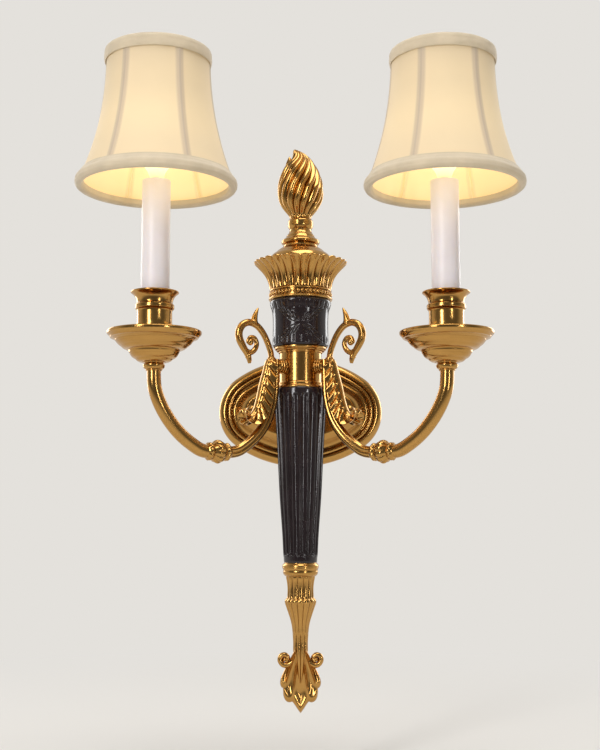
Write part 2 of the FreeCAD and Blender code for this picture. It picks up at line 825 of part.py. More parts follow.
def arm_knop():
    """Ribbed knop that joins the two parts of the arm: a bold bead between two small ones."""
    half = (KNOP_END - KNOP_START) / 2
    knop = turned([
        (0, -half),
        (6.4, -half),
        (7.2, -11.4, 0.3),
        (8.2, -7.2, 1.2),
        (7.4, -6.6),
        (7.4, 6.6, 4.0),
        (8.2, 7.2),
        (7.2, 11.4, 1.2),
        (6.6, half, 0.3),
        (0, half),
    ])
    groove = Part.Face(Part.Wire(Part.Circle(Vector(4, 0, -8.0), Vector(1, 0, 0), 1.0).toShape()))
    groove = groove.revolve(Vector(4, 0, 0), Vector(0, -1, 0), 180)
    knop = knop.cut(round_about(groove, 12))
    knop.rotate(ORIGIN, Vector(0, 1, 0), 90)
    knop.translate(Vector(KNOP_START + half, 0, KNOP_HEIGHT))
    return knop


def arm_tube():
    """Plain round tube from the knop up to the pan."""
    points = in_plane(OUTER_ARM_POINTS)
    return rod_along(points, TUBE_RADIUS).cut(rod_along(points, NIPPLE_RADIUS + EASE))


# ---------------------------------------------------------------- candle pieces, about their own axis
def at_candle(shape):
    """Moves a shape made about Z to the right candle's axis."""
    shape.translate(Vector(ARM_REACH, 0, 0))
    return on_right_arm(shape)


def arm_collar():
    """Turned collar on the tube's end, under the pan."""
    return turned([
        (TUBE_RADIUS + EASE, 23.4),
        (7.4, 23.4),
        (8.0, 25.0, 0.4),
        (7.8, 25.8),
        (10.2, 28.8, -0.5),
        (10.2, 30.4, 0.5),
        (9.8, PAN_FLOOR, 0.1),
        (NIPPLE_RADIUS + EASE, PAN_FLOOR),
        (NIPPLE_RADIUS + EASE, 29),
        (TUBE_RADIUS + EASE, 29),
    ])


def drip_pan():
    """Spun pan: two bowls, one over the other, and a rolled lip."""
    bore = NIPPLE_RADIUS + EASE
    return turned([
        (bore, PAN_FLOOR),
        (10.6, PAN_FLOOR),
        (23.4, 41.8, 2.6),
        (24.6, 42.6, -0.3),
        (36.4, 51.8, 2.0),
        (37.6, 52.4, -0.2),
        (PAN_RADIUS - 1.0, 57.4, -0.7),
        (PAN_RADIUS - 1.0, 60.6, 1.0),
        (PAN_RADIUS - 2.4, 60.0, 0.3),
        (36.6, 54.4, 0.6),
        (35.0, 53.4),
        (23.2, 44.4, -2.0),
        (22.0, 43.2),
        (9.8, 32.8, -2.6),
        (bore, 32.8),
    ])


def candle_cup():
    """Turned cup that holds the sleeve: foot, body, a bead and a flared rim."""
    bore = NIPPLE_RADIUS + EASE
    return turned([
        (bore, 32.8),
        (9.2, 32.8),
        (8.6, 44.0, -0.6),
        (13.0, 56.0, -1.5),
        (19.6, 60.2, -0.6),
        (19.6, 61.6, 0.5),
        (16.8, 66.5, -1.0),
        (16.3, 76.0, -0.3),
        (16.9, 80.6),
        (16.9, 85.8, 1.1),
        (16.6, 86.8),
        (22.0, 96.2, -1.5),
        (21.8, 97.6, 0.6),
        (20.6, 97.8, 0.2),
        (SLEEVE_RADIUS + 1.2, 89.4, 1.2),
        (SLEEVE_RADIUS + EASE, 88.0),
        (SLEEVE_RADIUS + EASE, 62.0),
        (bore, 62.0),
    ])


def cup_nipple():
    """Threaded tube that clamps the collar, pan and cup and carries the lampholder."""
    return turned([(3.6, 19.6), (NIPPLE_RADIUS, 19.6), (NIPPLE_RADIUS, 178), (3.6, 178)])


def candle_sleeve():
    """Plain white tube over the lampholder."""
    inner = SLEEVE_RADIUS - 1.1
    return turned([
        (inner, 62.0),
        (SLEEVE_RADIUS, 62.0),
        (SLEEVE_RADIUS, SLEEVE_TOP - 0.4),
        (SLEEVE_RADIUS - 0.4, SLEEVE_TOP, 0.1),
        (inner, SLEEVE_TOP),
    ])


def lampholder():
    """Small screw lampholder on the nipple's end."""
    return turned([
        (NIPPLE_RADIUS + EASE, 168),
        (8.0, 168),
        (8.0, 175.0),
        (11.8, 179.0),
        (11.8, 202.0),
        (11.2, 203.0),
        (7.3, 203.0),
        (7.3, 180.6),
        (0, 180.6),
        (0, 178.4),
        (NIPPLE_RADIUS + EASE, 178.4),
    ])


CAP_TOP = 206.0


def bulb_cap():
    """The bulb's screw cap, with its contact."""
    return turned([
        (0, 181.0),
        (2.2, 181.0),
        (2.4, 182.4),
        (5.4, 184.6),
        (6.9, 186.0),
        (6.9, 204.4),
        (6.2, CAP_TOP),
        (0, CAP_TOP),
    ])


def bulb_glass():
    """Candle-shaped glass envelope."""
    wall = 0.8
    return turned([
        (5.4, CAP_TOP),
        (6.2, CAP_TOP),
        (10.0, 215.0, -0.6),
        (BULB_RADIUS, 236.0, 1.6),
        (8.0, 268.0, 2.4),
        (1.0, 283.0, -1.1),
        (0, 283.0),
        (0, 281.8),
        (0.6, 281.8),
        (7.3, 267.4, 1.0),
        (BULB_RADIUS - wall, 236.0, -2.4),
        (9.2, 215.4, -1.5),
        (5.4, CAP_TOP, 0.5),
    ])


# ---------------------------------------------------------------- shade, about the candle's axis
WASHER_BOTTOM = 297.0
WASHER_TOP = 298.2
RIVET_RADIUS = 2.2


def bell_radius(height):
    """Outside radius of the cloth: a hollow curve, upright at the top and flared below."""
    drop = SHADE_TOP - 5 - height
    if drop < 0:
        return SHADE_TOP_RADIUS
    return SHADE_TOP_RADIUS + SHADE_FLARE - math.sqrt(SHADE_FLARE**2 - drop**2)


def bell_edge(top, bottom, inset):
    """Corners of the bell's curve from bottom to top, moved in by inset."""
    middle = (top + bottom) / 2
    ends = [(bell_radius(z) - inset, z) for z in (bottom, top)]
    chord_middle = (ends[0][0] + ends[1][0]) / 2
    rise = bell_radius(middle) - inset - chord_middle
    return ends, rise


def shade_cover():
    """Cloth and lining of the six panels, as one open bell."""
    cloth = 1.2
    outer, rise = bell_edge(328.4, 199.2, 0)
    inner, _ = bell_edge(328.4, 199.2, cloth)
    return turned([
        inner[0],
        outer[0],
        (outer[1][0], outer[1][1], rise),
        inner[1],
        (inner[0][0], inner[0][1], -rise),
    ])


BOTTOM_RING = (70.6, 200.8)
TOP_RING = (47.0, 326.6)


def frame_rings():
    """The shade's two wire rings."""
    bottom = Part.makeTorus(BOTTOM_RING[0], 1.4, Vector(0, 0, BOTTOM_RING[1]))
    top = Part.makeTorus(TOP_RING[0], 1.25, Vector(0, 0, TOP_RING[1]))
    return bottom, top


def shade_frame():
    """Wire frame under the cloth: two rings and six ribs."""
    inset = 2.5
    rib_radius = SHADE_FLARE + inset
    lean = math.asin((SHADE_TOP - 5 - BOTTOM_RING[1]) / rib_radius)
    run = rib_radius * math.tan(lean / 2)
    x = SHADE_TOP_RADIUS - inset
    corner = SHADE_TOP - 5 - run
    foot = (x + run * math.sin(lean), corner - run * math.cos(lean))
    rib = rod_along(in_plane([(x, TOP_RING[1]), (x, corner), foot]), 1.0, share=1.0)
    ribs = round_about(rib, SHADE_RIBS, -90 + SHADE_SEAM_TURN)
    bottom, top = frame_rings()
    return bottom.fuse([top] + ribs)


def shade_spider():
    """Three wire spokes from the top ring down to the washer that turns on the clip."""
    spoke = rod_along(in_plane([(46.9, 326.6), (46.9, 319.5), (20.0, 303.5), (6.0, 297.6)]), 1.0)
    spokes = round_about(spoke, 3, -60 + SHADE_SEAM_TURN)
    washer = Part.makeCylinder(8.0, WASHER_TOP - WASHER_BOTTOM, Vector(0, 0, WASHER_BOTTOM))
    spider = drilled(washer.fuse(spokes), RIVET_RADIUS + 0.08, 280, 310)
    return largest(spider.cut(frame_rings()[1]))


def shade_clip():
    """Spring wire clip: two loops round the bulb on a rivet that the shade turns on."""
    rivet = turned([
        (0, 293.6),
        (5.0, 293.6),
        (5.0, WASHER_BOTTOM - GAP),
        (RIVET_RADIUS, WASHER_BOTTOM - GAP),
        (RIVET_RADIUS, WASHER_TOP + GAP),
        (4.2, WASHER_TOP + GAP),
        (2.6, 300.6, 0.4),
        (0, 300.6),
    ])
    loop = rod_along([
        Vector(3.0, -1.6, 295.0),
        Vector(9.5, -6.0, 291.5),
        Vector(17.6, -7.6, 268.0),
        Vector(17.6, -7.6, 240.0),
        Vector(19.4, 0.0, 231.0),
        Vector(17.6, 7.6, 240.0),
        Vector(17.6, 7.6, 268.0),
        Vector(9.5, 6.0, 291.5),
        Vector(3.0, 1.6, 295.0),
    ], 0.8)
    return rivet.fuse(round_about(loop, 2))


def shade_bottom_trim():
    """Rolled cloth binding round the bottom edge and its ring."""
    edge = bell_radius(199.0) + EASE
    meet = bell_radius(210.4) + EASE
    return turned([
        (68.3, 203.4),
        (68.3, 199.6),
        (72.2, SHADE_BOTTOM, 1.2),
        (76.0, 201.8, 1.6),
        (meet + 0.3, 210.4, 1.5),
        (meet, 210.4),
        (edge, 199.0, 0.08),
        (68.8, 199.0),
        (68.8, 203.4),
    ])


def shade_top_trim():
    """Rolled cloth binding round the top edge and its ring."""
    edge = SHADE_TOP_RADIUS + EASE
    lower_edge = bell_radius(317.4) + EASE
    return turned([
        (lower_edge, 317.4),
        (lower_edge + 0.5, 317.4),
        (50.9, 322.0, 0.2),
        (50.6, 328.0, 0.3),
        (48.0, SHADE_TOP, 0.7),
        (45.2, 328.4, 0.5),
        (45.2, 324.6),
        (45.6, 324.6),
        (45.6, 328.6),
        (edge, 328.6),
        (edge, 325.0),
    ])


# ---------------------------------------------------------------- assembly
def build():
    """Every piece in its place, by name."""
    pieces = {
        "mounting_crossbar": mounting_crossbar(),
        "crossbar_studs": crossbar_studs(),
        "backplate": backplate(),
        "ball_cap_nuts": ball_cap_nuts(),
        "wall_neck": wall_neck(),
        "neck_rosette": neck_rosette(),
        "neck_locknut": neck_locknut(),
    }
    column = [
        tie_rod, flame_finial, finial_foot, crown_dome, crown, beaded_band, upper_drum, arm_hub,
        fluted_column, lower_collar, lower_baluster, palmette_drop,
    ]
    for make in column:
        pieces[make.__name__] = on_column(make())

    arm = inner_arm()
    boss = arm_boss(arm)
    leaf = acanthus_leaf(arm, boss)
    scroll = scroll_handle(arm, leaf)
    right = {
        "arm_boss": on_right_arm(boss),
        "scroll_handle": on_right_arm(scroll),
        "acanthus_leaf": on_right_arm(leaf),
        "inner_arm": on_right_arm(arm),
        "arm_knop": on_right_arm(arm_knop()),
        "arm_tube": on_right_arm(arm_tube()),
    }
    candle = [
        arm_collar, drip_pan, candle_cup, cup_nipple, candle_sleeve, lampholder, bulb_cap, bulb_glass,
        shade_clip, shade_spider, shade_frame, shade_cover, shade_bottom_trim, shade_top_trim,
    ]
    for make in candle:
        right[make.__name__] = at_candle(make())
    for name, shape in right.items():
        pieces[name + "_right"] = shape
        pieces[name + "_left"] = mirrored(shape)
    return pieces


os.makedirs("parts", exist_ok=True)
for node, shape in build().items():
    shape.exportStep("parts/" + node + ".step")
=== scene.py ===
"""Double arm wall sconce: the visible pieces and their finishes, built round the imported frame.

Pieces are modelled in millimetres and scaled to metres as they are finished. The wall is y = 0, the
front faces -Y, and +Z is up. Column pieces are made about Z and moved to the column's axis; arm
pieces are made in the XZ plane, with x along the arm, and turned into each arm's plane.
"""
import math

import bmesh
import bpy
from bpy.props import FloatProperty, FloatVectorProperty, IntProperty, PointerProperty
from mathutils import Matrix, Vector, noise


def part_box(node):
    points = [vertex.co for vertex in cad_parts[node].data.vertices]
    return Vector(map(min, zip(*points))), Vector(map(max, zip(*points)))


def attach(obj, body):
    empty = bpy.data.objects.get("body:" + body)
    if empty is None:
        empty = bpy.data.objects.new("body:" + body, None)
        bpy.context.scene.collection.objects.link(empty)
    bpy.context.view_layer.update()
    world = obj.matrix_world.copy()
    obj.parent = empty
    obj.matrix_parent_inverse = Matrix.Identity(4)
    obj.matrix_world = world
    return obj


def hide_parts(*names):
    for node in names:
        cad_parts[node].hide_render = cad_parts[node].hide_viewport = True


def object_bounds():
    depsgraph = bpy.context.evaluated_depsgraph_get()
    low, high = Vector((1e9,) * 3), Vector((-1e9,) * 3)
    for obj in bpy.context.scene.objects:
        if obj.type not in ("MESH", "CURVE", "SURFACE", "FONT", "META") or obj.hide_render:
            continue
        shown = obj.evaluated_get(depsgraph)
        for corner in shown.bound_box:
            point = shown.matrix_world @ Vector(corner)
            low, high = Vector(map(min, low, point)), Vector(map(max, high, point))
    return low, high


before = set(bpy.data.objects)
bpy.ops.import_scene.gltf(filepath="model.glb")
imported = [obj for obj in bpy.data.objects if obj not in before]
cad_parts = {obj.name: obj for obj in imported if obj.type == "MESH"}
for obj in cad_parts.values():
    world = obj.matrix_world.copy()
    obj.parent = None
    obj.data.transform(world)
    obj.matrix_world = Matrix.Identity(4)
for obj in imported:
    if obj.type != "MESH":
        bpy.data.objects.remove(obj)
CAD_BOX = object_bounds()

bl_info = {
    "name": "Double arm wall sconce",
    "version": (1, 0, 0),
    "blender": (4, 5, 0),
    "location": "View3D > Sidebar > Sconce",
    "description": "Builds a gilt and black wall sconce with two clip-on shades",
    "category": "Object",
}

MM = 0.001
PHOTO_HEIGHT = 750           # pixels
PHOTO_FOCAL = 1200           # pixels
SENSOR = 36.0                # millimetres
SIDES = ("right", "left")


def srgb(code):
    """Linear colour of an sRGB hex value."""
    channels = [int(code[k:k + 2], 16) / 255 for k in (1, 3, 5)]
    return tuple(c / 12.92 if c <= 0.04045 else ((c + 0.055) / 1.055) ** 2.4 for c in channels)


# ---- what a user would change
def long_by(name, description, millimetres):
    """A length property with its default."""
    return FloatProperty(
        name=name, description=description, default=millimetres * MM, unit="LENGTH")


def turn_by(name, description, degrees):
    """An angle property with its default."""
    return FloatProperty(
        name=name, description=description, default=math.radians(degrees), subtype="ANGLE")


def number(name, description, default):
    """A count property with its default."""
    return IntProperty(name=name, description=description, default=default)


def colour(name, description, code):
    """A colour property with its default."""
    return FloatVectorProperty(
        name=name, description=description, subtype="COLOR", size=3, default=srgb(code))


class SconceSizes(bpy.types.PropertyGroup):
    """Real sizes of the fitting."""
    standoff: long_by("Column standoff", "Wall to the column's axis", 75)
    arm_turn: turn_by("Arm turn", "Angle of each arm forward of the wall's plane", 36)
    arm_reach: long_by("Arm reach", "Column's axis to the candle's axis", 167.7)
    tube_radius: long_by("Tube radius", "Radius of the plain arm tube", 6.5)
    flame_ribs: number("Flame ribs", "Twisted ribs round the flame", 15)
    crown_leaves: number("Crown leaves", "Leaves round the crown", 28)
    band_beads: number("Band beads", "Beads round the crown's band", 46)
    shaft_flutes: number("Shaft flutes", "Flutes round the black shaft", 20)
    shade_panels: number("Shade panels", "Cloth panels in each shade", 6)
    seam_turn: turn_by("Seam turn", "Angle of the first seam from square to the arm", 6)


class SconceColours(bpy.types.PropertyGroup):
    """Colours of the finishes."""
    gilt: colour("Gilt", "Polished gilding on the raised parts", "#C29452")
    # painted shade: the gilt is darkened towards this colour in its hollows, where shade falls
    gilt_painted_shade: colour("Gilt shadow", "Toned gilding in the hollows", "#543418")
    lacquer: colour("Lacquer", "Black-brown gloss lacquer", "#221A1C")
    sleeve: colour("Sleeve", "White candle sleeve", "#EBE2E4")
    cloth: colour("Cloth", "Outside of the shade", "#CFBB9D")
    glow: colour("Glow", "Lamplight coming through the cloth", "#FFE096")
    lining: colour("Lining", "Inside of the shade", "#EBD6A8")
    # painted shade of the doubled cloth at the seams, where less lamplight comes through
    seam: colour("Seam", "Doubled cloth at the seams", "#B8A692")
    trim: colour("Trim", "Rolled binding of the shade", "#C8B9A1")
    stage: colour("Stage", "Floor and background", "#E4E1DC")


# ---- outlines and paths
ARC_PARTS = 7


def arc_points(start, end, rise):
    """Points after start, up to end, of the arc whose middle stands out to the right by rise."""
    chord = end - start
    half = chord.length / 2
    if abs(rise) < 1e-6:
        return [end]
    radius = (half**2 + rise**2) / (2 * rise)
    right = Vector((chord.z, 0, -chord.x)).normalized()
    centre = (start + end) / 2 + right * (rise - radius)
    sweep = 2 * math.asin(max(-1, min(1, half / radius)))
    if abs(rise) > half:
        sweep = math.copysign(2 * math.pi, radius) - sweep
    spoke = start - centre
    turn = Matrix.Rotation(-sweep / ARC_PARTS, 3, "Y")
    points = []
    for _ in range(ARC_PARTS):
        spoke = turn @ spoke
        points.append(centre + spoke)
    return points


def outline(corners):
    """Points of a line through corners (r, z) or (r, z, rise of the stretch that leads there)."""
    points = [Vector((corners[0][0], 0, corners[0][1]))]
    for corner in corners[1:]:
        there = Vector((corner[0], 0, corner[1]))
        points += arc_points(points[-1], there, corner[2] if len(corner) == 3 else 0)
    return points


def along(points, run):
    """Place and direction at run, 0 to 1, on the smooth line that points (x, z) guide."""
    guides = [Vector((x, 0, z)) for x, z in points]
    spans = len(guides) - 2
    span = min(int(run * spans), spans - 1)
    share = run * spans - span
    start = guides[0] if span == 0 else (guides[span] + guides[span + 1]) / 2
    middle = guides[span + 1]
    end = guides[-1] if span == spans - 1 else (guides[span + 1] + guides[span + 2]) / 2
    place = start * (1 - share) ** 2 + middle * (2 * share * (1 - share)) + end * share**2
    way = (middle - start) * (1 - share) + (end - middle) * share
    return place, way.normalized()


def table(rows, position, column=1):
    """Smooth value at a position in rows of numbers that are sorted by their first."""
    if position <= rows[0][0]:
        return rows[0][column]
    for k in range(1, len(rows)):
        if position <= rows[k][0]:
            break
    else:
        return rows[-1][column]
    a, b = rows[k - 1], rows[k]
    before = rows[k - 2] if k > 1 else a
    after = rows[k + 1] if k + 1 < len(rows) else b
    width = b[0] - a[0]
    share = (position - a[0]) / width
    slope_a = (b[column] - before[column]) / (b[0] - before[0]) * width
    slope_b = (after[column] - a[column]) / (after[0] - a[0]) * width
    s2, s3 = share**2, share**3
    return (
        a[column] * (2 * s3 - 3 * s2 + 1) + slope_a * (s3 - 2 * s2 + share)
        + b[column] * (3 * s2 - 2 * s3) + slope_b * (s3 - s2)
    )


def through(points, run):
    """Place and direction at run, 0 to 1, on the smooth line through points (x, z)."""
    rows = [(k, *point) for k, point in enumerate(points)]
    last = len(points) - 1

    def place(at):
        at = max(0.0, min(float(last), at))
        return Vector((table(rows, at), 0, table(rows, at, 2)))

    at = run * last
    return place(at), (place(at + 0.02) - place(at - 0.02)).normalized()


def level(rows, position):
    """Every smooth value at a position in rows of numbers."""
    return [table(rows, position, column) for column in range(1, len(rows[0]))]


# ---- mesh builders
SECTION_END = 0.999999       # a section's last point falls back on its first, so that it closes


def turned(corners, steps=128, closed=True):
    """A turning about Z from its outline."""
    bm = bmesh.new()
    points = outline(corners + [corners[0]] if closed else corners)
    if closed:
        points = points[:-1]
    verts = [bm.verts.new(p) for p in points]
    for a, b in zip(verts, verts[1:]):
        bm.edges.new((a, b))
    if closed:
        bm.edges.new((verts[-1], verts[0]))
    bmesh.ops.spin(
        bm, geom=bm.verts[:] + bm.edges[:], cent=(0, 0, 0), axis=(0, 0, 1),
        angle=2 * math.pi, steps=steps, use_merge=True)
    bmesh.ops.remove_doubles(bm, verts=bm.verts[:], dist=1e-4)
    bmesh.ops.recalc_face_normals(bm, faces=bm.faces[:])
    return bm


def polar(radius, angle, z):
    """The point at a radius and angle about Z, at a height."""
    return Vector((radius * math.cos(angle), radius * math.sin(angle), z))


def wrapped(around, lengthwise, shape, caps=True):
    """A grid bent by shape(turn, run), both 0 to 1, into a tube or skin; open ends are closed."""
    bm = bmesh.new()
    bmesh.ops.create_grid(bm, x_segments=around, y_segments=lengthwise, size=0.5)
    uv = bm.loops.layers.uv.new("UVMap")
    for face in bm.faces:
        for loop in face.loops:
            loop[uv].uv = (loop.vert.co.x + 0.5, loop.vert.co.y + 0.5)
    for vert in bm.verts:
        vert.co = shape(vert.co.x + 0.5, vert.co.y + 0.5)
    bmesh.ops.remove_doubles(bm, verts=bm.verts[:], dist=1e-3)
    bmesh.ops.dissolve_degenerate(bm, dist=1e-4, edges=bm.edges[:])
    if caps:
        bmesh.ops.holes_fill(bm, edges=[e for e in bm.edges if e.is_boundary], sides=0)
    bmesh.ops.recalc_face_normals(bm, faces=bm.faces[:])
    return bm


def ringed(around, lengthwise, rows, radius):
    """A closed skin about Z over the heights of rows, of radius(turn, z)."""
    low, high = rows[0][0], rows[-1][0]

    def shape(turn, run):
        z = low + (high - low) * run
        return polar(radius(turn, z), 2 * math.pi * turn, z)

    return wrapped(around, lengthwise, shape)


def bar(points, radius, around=24, lengthwise=64, section=None, line=along):
    """A bar along a line in the XZ plane, of radius(run); section(turn) is (in plane, across)."""
    def shape(turn, run):
        place, way = line(points, run)
        out = Vector((way.z, 0, -way.x))
        angle = 2 * math.pi * turn
        a, b = section(turn) if section else (math.cos(angle), math.sin(angle))
        size = radius(run) if callable(radius) else radius
        return place + out * (a * size) + Vector((0, b * size, 0))
    return wrapped(around, lengthwise, shape)


def ball(radius, place, stretch=(1, 1, 1), around=24):
    """A ball, or an oval one."""
    bm = bmesh.new()
    bmesh.ops.create_uvsphere(bm, u_segments=around, v_segments=around // 2, radius=radius)
    bm.transform(Matrix.Translation(place) @ Matrix.Diagonal((*stretch, 1)))
    return bm


def joined(*parts):
    """Several bmeshes as one."""
    whole = bmesh.new()
    for part in parts:
        mesh = bpy.data.meshes.new("part")
        part.to_mesh(mesh)
        part.free()
        whole.from_mesh(mesh)
        bpy.data.meshes.remove(mesh)
    return whole


def copies(bm, placings):
    """One bmesh with a copy at each placing."""
    mesh = bpy.data.meshes.new("part")
    bm.to_mesh(mesh)
    bm.free()
    whole = bmesh.new()
    for placing in placings:
        first = len(whole.verts)
        whole.from_mesh(mesh)
        whole.verts.ensure_lookup_table()
        bmesh.ops.transform(whole, matrix=placing, verts=whole.verts[first:])
    bpy.data.meshes.remove(mesh)
    return whole


# ---- places
def sizes():
    return bpy.context.scene.sconce_sizes


def colours():
    return bpy.context.scene.sconce_colours


def column_place():
    """From a turning about Z to the column's axis."""
    return Matrix.Translation((0, -sizes().standoff / MM, 0))


def arm_place(side):
    """From the XZ plane to an arm's plane."""
    right = column_place() @ Matrix.Rotation(-sizes().arm_turn, 4, "Z")
    return right if side == "right" else Matrix.Scale(-1, 4, (1, 0, 0)) @ right


def candle_place(side):
    """From a turning about Z to a candle's axis."""
    return arm_place(side) @ Matrix.Translation((sizes().arm_reach / MM, 0, 0))


# ---- finishing a piece
CREASE = math.radians(38)
HOLLOW_REACH = 1.5           # millimetres: a hollow of this radius gets the full painted shade
HOLLOW_STEP = 0.7            # millimetres: finer waves than this count for less
SMOOTHINGS = 3


def mark_hollows(bm):
    """Stores how hollow the surface is at each point, 0 to 1, for the painted shade that darkens
    the gilding's hollows.
    """
    layer = bm.verts.layers.float.new("hollow")
    depth = {}
    for vert in bm.verts:
        bends = []
        for edge in vert.link_edges:
            step = edge.other_vert(vert).co - vert.co
            bends.append(2 * step.dot(vert.normal) / max(step.length, HOLLOW_STEP) ** 2)
        depth[vert] = sum(bends) / len(bends) * HOLLOW_REACH if bends else 0
    for _ in range(SMOOTHINGS):
        near = {v: [depth[e.other_vert(v)] for e in v.link_edges] for v in depth}
        depth = {v: (d + sum(near[v]) / max(1, len(near[v]))) / 2 for v, d in depth.items()}
    for vert, d in depth.items():
        vert[layer] = max(0.0, min(1.0, d))


def finished(bm, name, body, slot, materials, place, replaced=(), crease=CREASE):
    """Puts a bmesh in its place, in metres, as a piece that rides on its body."""
    bm.transform(place)
    if place.determinant() < 0:
        bmesh.ops.reverse_faces(bm, faces=bm.faces[:])
    bm.normal_update()
    mark_hollows(bm)
    bm.transform(Matrix.Scale(MM, 4))
    mesh = bpy.data.meshes.new(name)
    bm.to_mesh(mesh)
    bm.free()
    mesh.polygons.foreach_set("use_smooth", [True] * len(mesh.polygons))
    mesh.set_sharp_from_angle(angle=crease)
    for material in materials:
        mesh.materials.append(material)
    piece = bpy.data.objects.new(name, mesh)
    bpy.context.scene.collection.objects.link(piece)
    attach(piece, body)
    if replaced:
        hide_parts(*replaced)
    return piece


def both_sides(make, name, cad, place, slot, materials, body="fixture"):
    """A piece on each side in place of a CAD piece, from the function that makes its bmesh."""
    return [
        finished(
            make(), f"{name}_{side}", body if body == "fixture" else f"{body}_{side}",
            slot, materials, place(side), [f"{cad}_{side}"])
        for side in SIDES
    ]


# ---- materials
def rgba(value):
    """A colour with full alpha."""
    return (*value, 1.0)


def shaded(value, *factors):
    """A colour at several strengths."""
    return [[min(1.0, v * factor) for v in value] for factor in factors]


def plug(tree, target, inputs):
    """Gives a node its inputs: values, or sockets to link from, by the input's name or number."""
    for key, value in dict(inputs).items():
        if isinstance(value, bpy.types.NodeSocket):
            tree.links.new(value, target.inputs[key])
        else:
            target.inputs[key].default_value = value


def node(tree, kind, inputs=(), **settings):
    """Adds a node with its settings and inputs."""
    made = tree.nodes.new(kind)
    for key, value in settings.items():
        setattr(made, key, value)
    plug(tree, made, inputs)
    return made


def maths(tree, operation, *values, clamp=False):
    """The result of a calculation with values or sockets."""
    return node(
        tree, "ShaderNodeMath", enumerate(values), operation=operation, use_clamp=clamp).outputs[0]


def eased(tree, value, start, end, low, high):
    """A smooth change from low to high as the value goes from start to end."""
    return node(tree, "ShaderNodeMapRange", {
        "Value": value, "From Min": start, "From Max": end, "To Min": low, "To Max": high,
    }, interpolation_type="SMOOTHSTEP").outputs[0]


def spots(tree, place, scale, detail):
    """Noise from 0 to 1, in patches of about 1 / scale metres."""
    return node(
        tree, "ShaderNodeTexNoise",
        {"Vector": place, "Scale": scale, "Detail": detail}).outputs["Fac"]


def bumped(tree, height, strength, distance):
    """The surface's normal with fine relief."""
    return node(
        tree, "ShaderNodeBump",
        {"Height": height, "Strength": strength, "Distance": distance}).outputs[0]


def graded(tree, share, stops, interpolation="LINEAR"):
    """The colour at a share among stops (position, colour)."""
    ramp = node(tree, "ShaderNodeValToRGB", {"Fac": share})
    ramp.color_ramp.interpolation = interpolation
    elements = ramp.color_ramp.elements
    while len(elements) < len(stops):
        elements.new(0.5)
    for element, (position, value) in zip(elements, stops):
        element.position = position
        element.color = rgba(value)
    return ramp.outputs[0]


def object_place(tree):
    """Coordinates in the object's own space, in metres."""
    return node(tree, "ShaderNodeTexCoord").outputs["Object"]


def new_material(name):
    """A new material, its tree and its shader; only the material if it is already made."""
    material = bpy.data.materials.get(name)
    if material:
        return material, None, None
    material = bpy.data.materials.new(name)
    material.use_nodes = True
    tree = material.node_tree
    return material, tree, tree.nodes["Principled BSDF"]


def gilt_brass():
    """Cast brass, polished and gilt, toned unevenly in patches, with painted shade: bright on the
    swellings, brown in the hollows.
    """
    material, tree, shader = new_material("polished gilt brass")
    if tree is None:
        return material
    place = object_place(tree)
    hollow = node(tree, "ShaderNodeAttribute", attribute_name="hollow").outputs["Fac"]
    # uneven toning in patches about 8 mm across
    patch = spots(tree, place, 120, 1)
    tone = maths(tree, "MULTIPLY_ADD", patch, 0.16, -0.06)
    # painted shade: the hollows darken towards the shadow colour, with the patchy toning added on
    # top
    depth = maths(tree, "MULTIPLY_ADD", hollow, 0.95, tone, clamp=True)
    gilding = rgba(colours().gilt), rgba(colours().gilt_painted_shade)
    mix = node(tree, "ShaderNodeMix", {0: depth, 6: gilding[0], 7: gilding[1]}, data_type="RGBA")
    # polishing marks about 1 mm across, felt more than seen
    marks = spots(tree, place, 900, 2)
    plug(tree, shader, {
        "Base Color": mix.outputs[2],
        "Roughness": maths(tree, "MULTIPLY_ADD", marks, 0.05, 0.165),
        "Normal": bumped(tree, patch, 0.1, 0.0004),
        "Metallic": 1.0,
    })
    return material


def black_lacquer():
    """Cast metal under black-brown gloss lacquer, slightly clouded, with wet highlights."""
    material, tree, shader = new_material("black brown gloss lacquer")
    if tree is None:
        return material
    place = object_place(tree)
    patch = spots(tree, place, 60, 4)
    dark, light = shaded(colours().lacquer, 0.75, 1.25)
    # orange peel about 1.2 mm across
    peel = spots(tree, place, 800, 1)
    plug(tree, shader, {
        "Base Color": graded(tree, patch, ((0.3, dark), (0.7, light))),
        "Roughness": maths(tree, "MULTIPLY_ADD", patch, 0.08, 0.08),
        "Normal": bumped(tree, peel, 0.06, 0.0003),
        "IOR": 1.5,
    })
    return material


def plain_finish(name, code, roughness, metallic=0.0, grain=400, contrast=0.12):
    """A moulded or plated finish: one colour that drifts a little, with a fine even grain."""
    material, tree, shader = new_material(name)
    if tree is None:
        return material
    base = srgb(code) if isinstance(code, str) else code
    place = object_place(tree)
    drift = spots(tree, place, 45, 3)
    dark, light = shaded(base, 1 - contrast, 1 + contrast / 3)
    fine = spots(tree, place, grain, 2)
    plug(tree, shader, {
        "Base Color": graded(tree, drift, ((0.25, dark), (0.75, light))),
        "Roughness": maths(tree, "MULTIPLY_ADD", fine, 0.12, roughness - 0.06),
        "Normal": bumped(tree, fine, 0.08, 0.0002),
        "Metallic": metallic,
    })
    return material


def zinc_steel():
    """Zinc plated steel of the bar, studs, nuts and threaded rods: grey, dull, slightly mottled."""
    return plain_finish("zinc plated steel", "#A9AAA8", 0.42, metallic=1.0, grain=700, contrast=0.2)


SLEEVE_GLOW_REACH = 0.06     # metres that the lamplight comes down the sleeve


